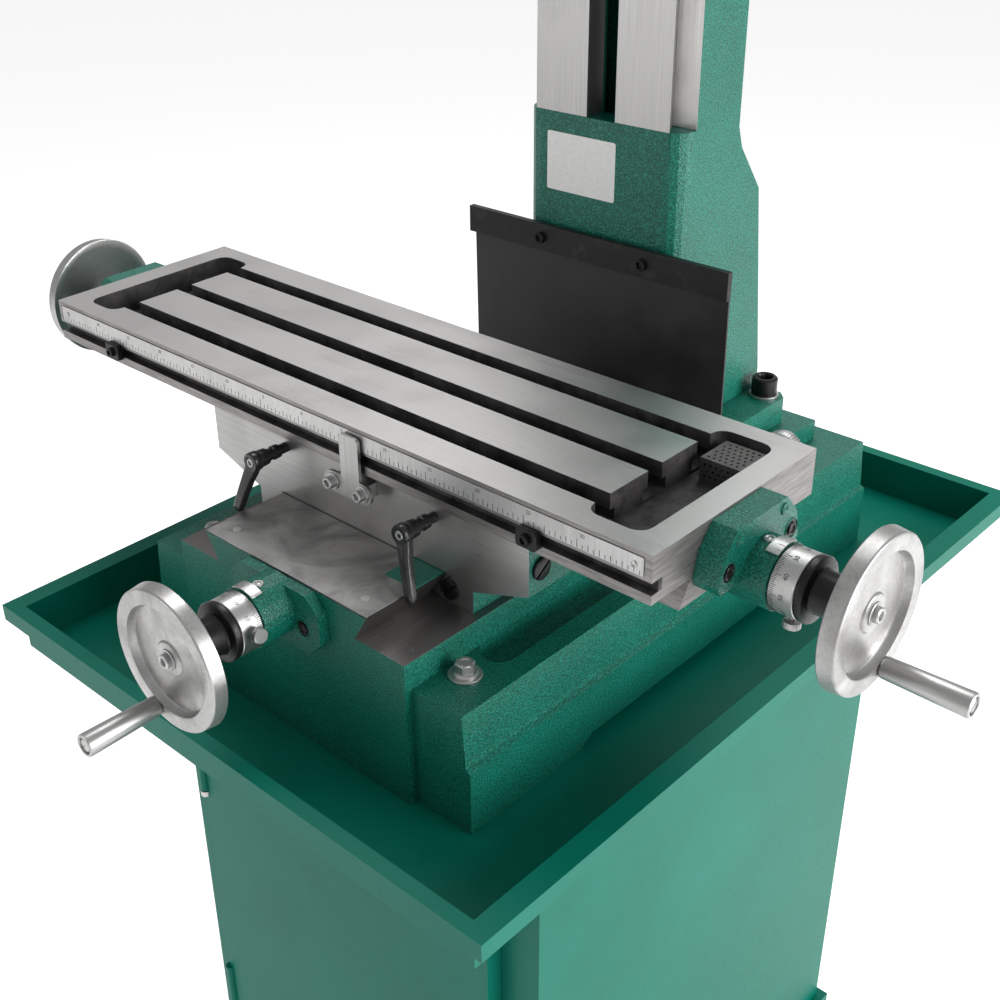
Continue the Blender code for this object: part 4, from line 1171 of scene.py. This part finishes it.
def build_clamp_lever(label, x, tip_x, tip_z):
    """Adjustable clamping lever: stud, sleeve, hub screw and flat-sided arm."""
    builder = bmesh.new()
    profile = [
        (-260.0, 0.0), (-260.0, 7.2), (-257.0, 7.8), (-250.0, 7.4), (-249.4, 5.6), (-243.0, 5.4),
        (-242.4, 6.4), (-236.4, 6.2), (-236.0, 4.6), (SADDLE_FRONT - 0.3, 4.6), (SADDLE_FRONT - 0.3, 0.0),
    ]
    add_turned(builder, profile, "y", (x, LEVER_HUB_Z), 36)
    rings = []
    cap = ((-258.0, 8.0), (-259.5, 8.8), (-266.0, 8.8), (-267.6, 7.9), (-267.6, 5.4), (-266.6, 5.0))
    for along, radius in cap:
        rings.append(circle("y", along, (x, LEVER_HUB_Z), radius, 36))
    loft(builder, rings)
    rise = Vector((tip_x - x, 0.0, tip_z - LEVER_HUB_Z))
    start = Vector((x, -263.0, LEVER_HUB_Z))
    stations = [
        (start - rise * 0.02, 14.0, 8.0), (start + rise * 0.08, 14.4, 8.6),
        (start + rise * 0.20 + Vector((0, -1.2, 0)), 13.0, 8.6),
        (start + rise * 0.34 + Vector((0, -3.4, 0)), 11.4, 8.4),
        (start + rise * 0.60 + Vector((0, -6.4, 0)), 10.4, 8.2),
        (start + rise * 0.88 + Vector((0, -9.2, 0)), 9.6, 8.0),
        (start + rise * 0.98 + Vector((0, -10.0, 0)), 8.6, 7.0),
        (start + rise * 1.01 + Vector((0, -10.2, 0)), 6.0, 4.6),
    ]
    add_swept(builder, stations, (0, 1, 0), 24, 4.0)
    lever = make_piece(
        f"saddle_lever_{label}", builder, f"{label}_lever", "lever"
    )
    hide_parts(f"clamp_lever_{label}")
    spots = [(x, LEVER_HUB_Z)]
    cap_screws(f"saddle_lever_screw_{label}", f"{label}_lever", "bright", "y", spots, -266.4, -1, 4.2, 1.4)


def build_saddle_details():
    screws = bmesh.new()
    for x in (-11.8, 23.6):
        add_washer(screws, "y", (x, POINTER_SCREW_Z), -243.0, -1, 3.0, 7.6, 1.4)
        add_cap_screw(screws, "y", (x, POINTER_SCREW_Z), -244.4, -1, 5.4, 6.0)
    make_piece("pointer_screws", screws, "saddle", "bright")
    for name, axis, spot, seat, outward, height, turn in (
        ("x_gib_screw_right", "x", (-214.0, 850.0), SADDLE_SIDE, 1, 3.2, 0.6),
        ("x_gib_screw_left", "x", (-214.0, 850.0), -SADDLE_SIDE, -1, 3.2, 0.6),
        ("y_gib_screw", "y", (107.0, 801.5), SADDLE_FRONT + 0.2, -1, 3.4, 0.7),
    ):
        gib = bmesh.new()
        add_slot_screw(gib, axis, spot, seat, outward, 9.6, height, turn)
        make_piece(name, gib, "saddle", "black")


# ---------------------------------------------------------------- base, column, stand

def build_base_details():
    for label, x, y in (("right", 158.0, -266.0), ("left", -158.0, -266.0)):
        builder = bmesh.new()
        add_washer(builder, "z", (x, y), SHOULDER_TOP, 1, 5.0, 14.0, 2.0)
        add_hex_bolt(builder, "z", (x, y), SHOULDER_TOP + 2.0, 1, 15.0, 11.0, 10.5)
        make_piece(f"hold_down_bolt_{label}", builder, "stand", "bright")
    screws = bmesh.new()
    for x in (-80.0, 80.0):
        profile = [
            (WAY_COVER_TOP + 0.3, 0.0), (WAY_COVER_TOP + 0.2, 3.6),
            (WAY_COVER_TOP - 0.1, 3.8), (WAY_COVER_TOP - 0.1, 0.0),
        ]
        add_turned(screws, profile, "z", (x, -296.0), 24)
    make_piece("way_cover_screws", screws, "stand", "bright")


def build_column_details():
    spots = [(side * 107.0, y) for side in (-1, 1) for y in (107.0, 234.0)]
    washers = bmesh.new()
    for spot in spots:
        add_washer(washers, "z", spot, COLUMN_FOOT_TOP, 1, 8.0, 15.0, COLUMN_BOLT_WASHER)
    make_piece("column_bolt_washers", washers, "stand", "bright")
    seat = COLUMN_FOOT_TOP + COLUMN_BOLT_WASHER
    cap_screws("column_bolts", "stand", "black", "z", spots, seat, 1, 12.8, 18.0)
    label = bmesh.new()
    outline = rounded_outline((-61.0, 1027.0), (18.0, 1082.0), 2.0)
    add_prism(label, outline, "y", 89.95, 89.55)
    make_piece("blank_label", label, "stand", "label", False)
    spots = [(-59.0, 981.0), (60.0, 981.0)]
    cap_screws("guard_screws", "stand", "black", "y", spots, 79.0, -1, 5.4, 4.6)
    build_conduit()


def build_conduit():
    """Short ribbed conduit that leaves the deck beside the column's seat."""
    centre = Vector((152.0, 213.0, 768.0))
    reach = 26.0
    rings = []
    ribs = 26
    side = Vector((0.0, 1.0, 0.0))
    for step in range(ribs * 4 + 1):
        share = step / (ribs * 4)
        angle = math.pi * share
        outward = Vector((-math.cos(angle), 0.0, math.sin(angle)))
        middle = centre + Vector((outward.x * reach * 0.55 - 4.0, 0.0, outward.z * reach * 0.75 - 8.0))
        radius = 9.5 + (0.9 if step % 4 < 2 else -0.5)
        rings.append(ring_about(middle, outward, side, [radius] * 24))
    builder = bmesh.new()
    loft(builder, rings)
    make_piece("wiring_conduit", builder, "stand", "bright")


def build_stand_details():
    handle = bmesh.new()
    stations = [
        ((160.0, -288.0, 286.0), 12.0, 12.0), ((160.0, -300.0, 288.0), 12.0, 10.0),
        ((160.0, -307.0, 298.0), 14.0, 8.0), ((160.0, -308.0, 320.0), 16.0, 8.0),
        ((160.0, -308.0, 342.0), 16.0, 8.0), ((160.0, -307.0, 364.0), 14.0, 8.0),
        ((160.0, -300.0, 374.0), 12.0, 10.0), ((160.0, -288.0, 376.0), 12.0, 12.0),
    ]
    add_swept(handle, stations, (1, 0, 0), 24, 2.4)
    make_piece("door_handle", handle, "door", "black_plastic")
    pins = bmesh.new()
    for low in (122.0, 442.0):
        profile = [(low, 0.0), (low, 4.6), (low + 1.0, 5.4), (low + 7.0, 5.4), (low + 7.4, 0.0)]
        add_turned(pins, profile, "z", (-198.0, -288.0), 24)
    make_piece("door_hinge_caps", pins, "door", "bright")


# ---------------------------------------------------------------- head

def build_head_details():
    scale = bmesh.new()
    for degree in range(-45, 46, 5):
        angle = math.radians(90.0 - degree)
        point, out, tangent = around("y", 29.6, (0.0, TILT_Z), 78.0, angle)
        add_tick(scale, point, out, tangent, Vector((0, -1, 0)), 0.7, 12.0 if degree % 15 == 0 else 7.0)
    make_piece("tilt_scale_marks", scale, "head", "label", False)
    fins = bmesh.new()
    for count in range(28):
        angle = 2.0 * math.pi * count / 28
        point, out, tangent = around("z", 1676.0, (0.0, MOTOR_Y), 59.4, angle)
        side = tangent * 1.3
        base = [point - side, point + side, point + side + out * 4.6, point - side + out * 4.6]
        low = [corner * MM for corner in base]
        high = [(corner + Vector((0, 0, 138.0))) * MM for corner in base]
        loft(fins, [low, high])
    make_piece("motor_fins", fins, "head", "charcoal")
    spots = [(x, y) for x in (-70.0, 70.0) for y in (-195.0, -20.0)]
    cap_screws("head_cover_screws", "head", "black", "z", spots, HEAD_COVER_TOP, 1, 5.4, 5.0)
    window = bmesh.new()
    outline = rounded_outline((-58.0, 1556.0), (58.0, 1598.0), 4.0)
    add_prism(window, outline, "y", HEAD_FRONT, HEAD_FRONT - 1.2)
    make_piece("speed_display", window, "head", "window")
    digits = bmesh.new()
    add_text(digits, "0000", 26.0, (0.0, HEAD_FRONT - 1.2, 1577.0), (1, 0, 0), (0, 0, 1), 0.15)
    make_piece("display_digits", digits, "head", "red_plastic", False)
    panel = bmesh.new()
    add_prism(panel, rounded_outline((-66.0, 1444.0), (66.0, 1544.0), 5.0), "y", HEAD_FRONT, HEAD_FRONT - 0.6)
    plate = make_piece("control_panel_plate", panel, "head", "label", False)
    holes = bmesh.new()
    for x, radius in ((KNOB_X, 4.6), (8.0, 9.2), (46.0, 10.8)):
        ends = (HEAD_FRONT - 3.0, HEAD_FRONT + 3.0)
        rings = [circle("y", along, (x, BUTTON_ROW_Z), radius, 32) for along in ends]
        loft(holes, rings)
    carve(plate, [holes])
    ticks = bmesh.new()
    for count in range(11):
        angle = math.radians(225.0 - 27.0 * count)
        out = Vector((math.cos(angle), 0.0, math.sin(angle)))
        point = Vector((KNOB_X, HEAD_FRONT - 0.6, BUTTON_ROW_Z)) + out * 18.0
        add_tick(ticks, point, Vector((0, -1, 0)), Vector((-out.z, 0, out.x)), out, 0.7, 3.2)
    make_piece("speed_knob_marks", ticks, "head", "ink", False)
    ring = bmesh.new()
    profile = [
        (1652.0, 24.0), (1652.0, 27.5), (1654.0, 28.5), (1660.0, 28.5), (1661.5, 26.5),
        (1661.5, 24.0), (1652.0, 24.0),
    ]
    add_turned(ring, profile, "z", (0.0, SPINDLE_Y), 64)
    make_piece("drawbar_cap_ring", ring, "head", "aluminium")


def build_feed_knobs():
    start = Vector(FEED_CENTRE)
    builder = bmesh.new()
    for number in range(3):
        angle = math.radians(80.0 + 120.0 * number)
        outward = Vector((0.20, math.cos(angle), math.sin(angle))).normalized()
        centre = start + outward * FEED_ARM
        side, across = bar_frame(outward, Vector((1, 0, 0)))
        rings = []
        for step in range(1, 16):
            latitude = math.pi * step / 16
            radius = FEED_KNOB_RADIUS * math.sin(latitude)
            shift = -FEED_KNOB_RADIUS * math.cos(latitude)
            rings.append(ring_about(centre + outward * shift, side, across, [radius] * 32))
        loft(builder, rings)
    make_piece("feed_knobs", builder, "feed", "black_plastic")


# ---------------------------------------------------------------- stage

def build_floor():
    n = Nodes("Pale_floor", (0.86, 0.86, 0.86), 0.0, 0.7)
    n.shader.inputs["Emission Color"].default_value = (1.0, 1.0, 1.0, 1.0)
    n.shader.inputs["Emission Strength"].default_value = 0.50
    mesh = bpy.data.meshes.new("floor")
    size = 40.0
    corners = [(-size, -size, -0.001), (size, -size, -0.001), (size, size, -0.001), (-size, size, -0.001)]
    mesh.from_pydata(corners, [], [(0, 1, 2, 3)])
    mesh.materials.append(n.material)
    floor = bpy.data.objects.new("floor", mesh)
    bpy.context.collection.objects.link(floor)


def add_area_light(name, position, target, size, energy, colour=(1.0, 1.0, 1.0)):
    light = bpy.data.lights.new(name, "AREA")
    light.shape = "RECTANGLE"
    light.size, light.size_y = size
    light.energy = energy
    light.color = colour
    item = bpy.data.objects.new(name, light)
    item.location = position
    direction = Vector(target) - Vector(position)
    item.rotation_euler = direction.to_track_quat("-Z", "Y").to_euler()
    bpy.context.collection.objects.link(item)


def build_lights():
    add_area_light("key_right", (2.9, 0.7, 1.5), (0.0, -0.05, 0.85), (2.2, 2.0), 110.0)
    add_area_light("top_soft", (-0.6, 0.9, 3.0), (0.0, 0.0, 0.9), (1.6, 1.6), 42.0)
    add_area_light("front_fill", (-1.6, -2.8, 1.5), (0.0, 0.0, 0.9), (1.6, 1.6), 14.0)
    world = bpy.data.worlds.new("studio")
    world.use_nodes = True
    world.node_tree.nodes["Background"].inputs[0].default_value = (1.0, 1.0, 1.0, 1.0)
    world.node_tree.nodes["Background"].inputs[1].default_value = 0.48
    bpy.context.scene.world = world
    bpy.context.scene.view_settings.view_transform = "Standard"


def build_camera():
    yaw, pitch, roll = (math.radians(v) for v in (CAMERA_YAW, CAMERA_PITCH, CAMERA_ROLL))
    forward = Vector((-math.sin(yaw) * math.cos(pitch), math.cos(yaw) * math.cos(pitch), -math.sin(pitch)))
    right = Vector((math.cos(yaw), math.sin(yaw), 0.0))
    up = right.cross(forward)
    rolled_right = right * math.cos(roll) + up * math.sin(roll)
    rolled_up = up * math.cos(roll) - right * math.sin(roll)
    turn = Matrix((rolled_right, rolled_up, -forward)).transposed()
    data = bpy.data.cameras.new("camera")
    data.lens = CAMERA_LENS
    data.sensor_width = 36.0
    data.shift_x, data.shift_y = CAMERA_SHIFT
    item = bpy.data.objects.new("camera", data)
    item.matrix_world = Matrix.Translation(CAMERA_PLACE) @ turn.to_4x4()
    bpy.context.collection.objects.link(item)
    bpy.context.scene.camera = item


build_camera()
finish_cad_nodes()
build_x_drive()
build_y_drive()
build_z_drive()
build_table_scale()
build_table_stops()
build_strainer()
build_clamp_lever("left", -91.0, -107.0, 814.0)
build_clamp_lever("right", 91.0, 108.5, 811.0)
build_saddle_details()
build_base_details()
build_column_details()
build_stand_details()
build_head_details()
build_feed_knobs()
build_floor()
build_lights()
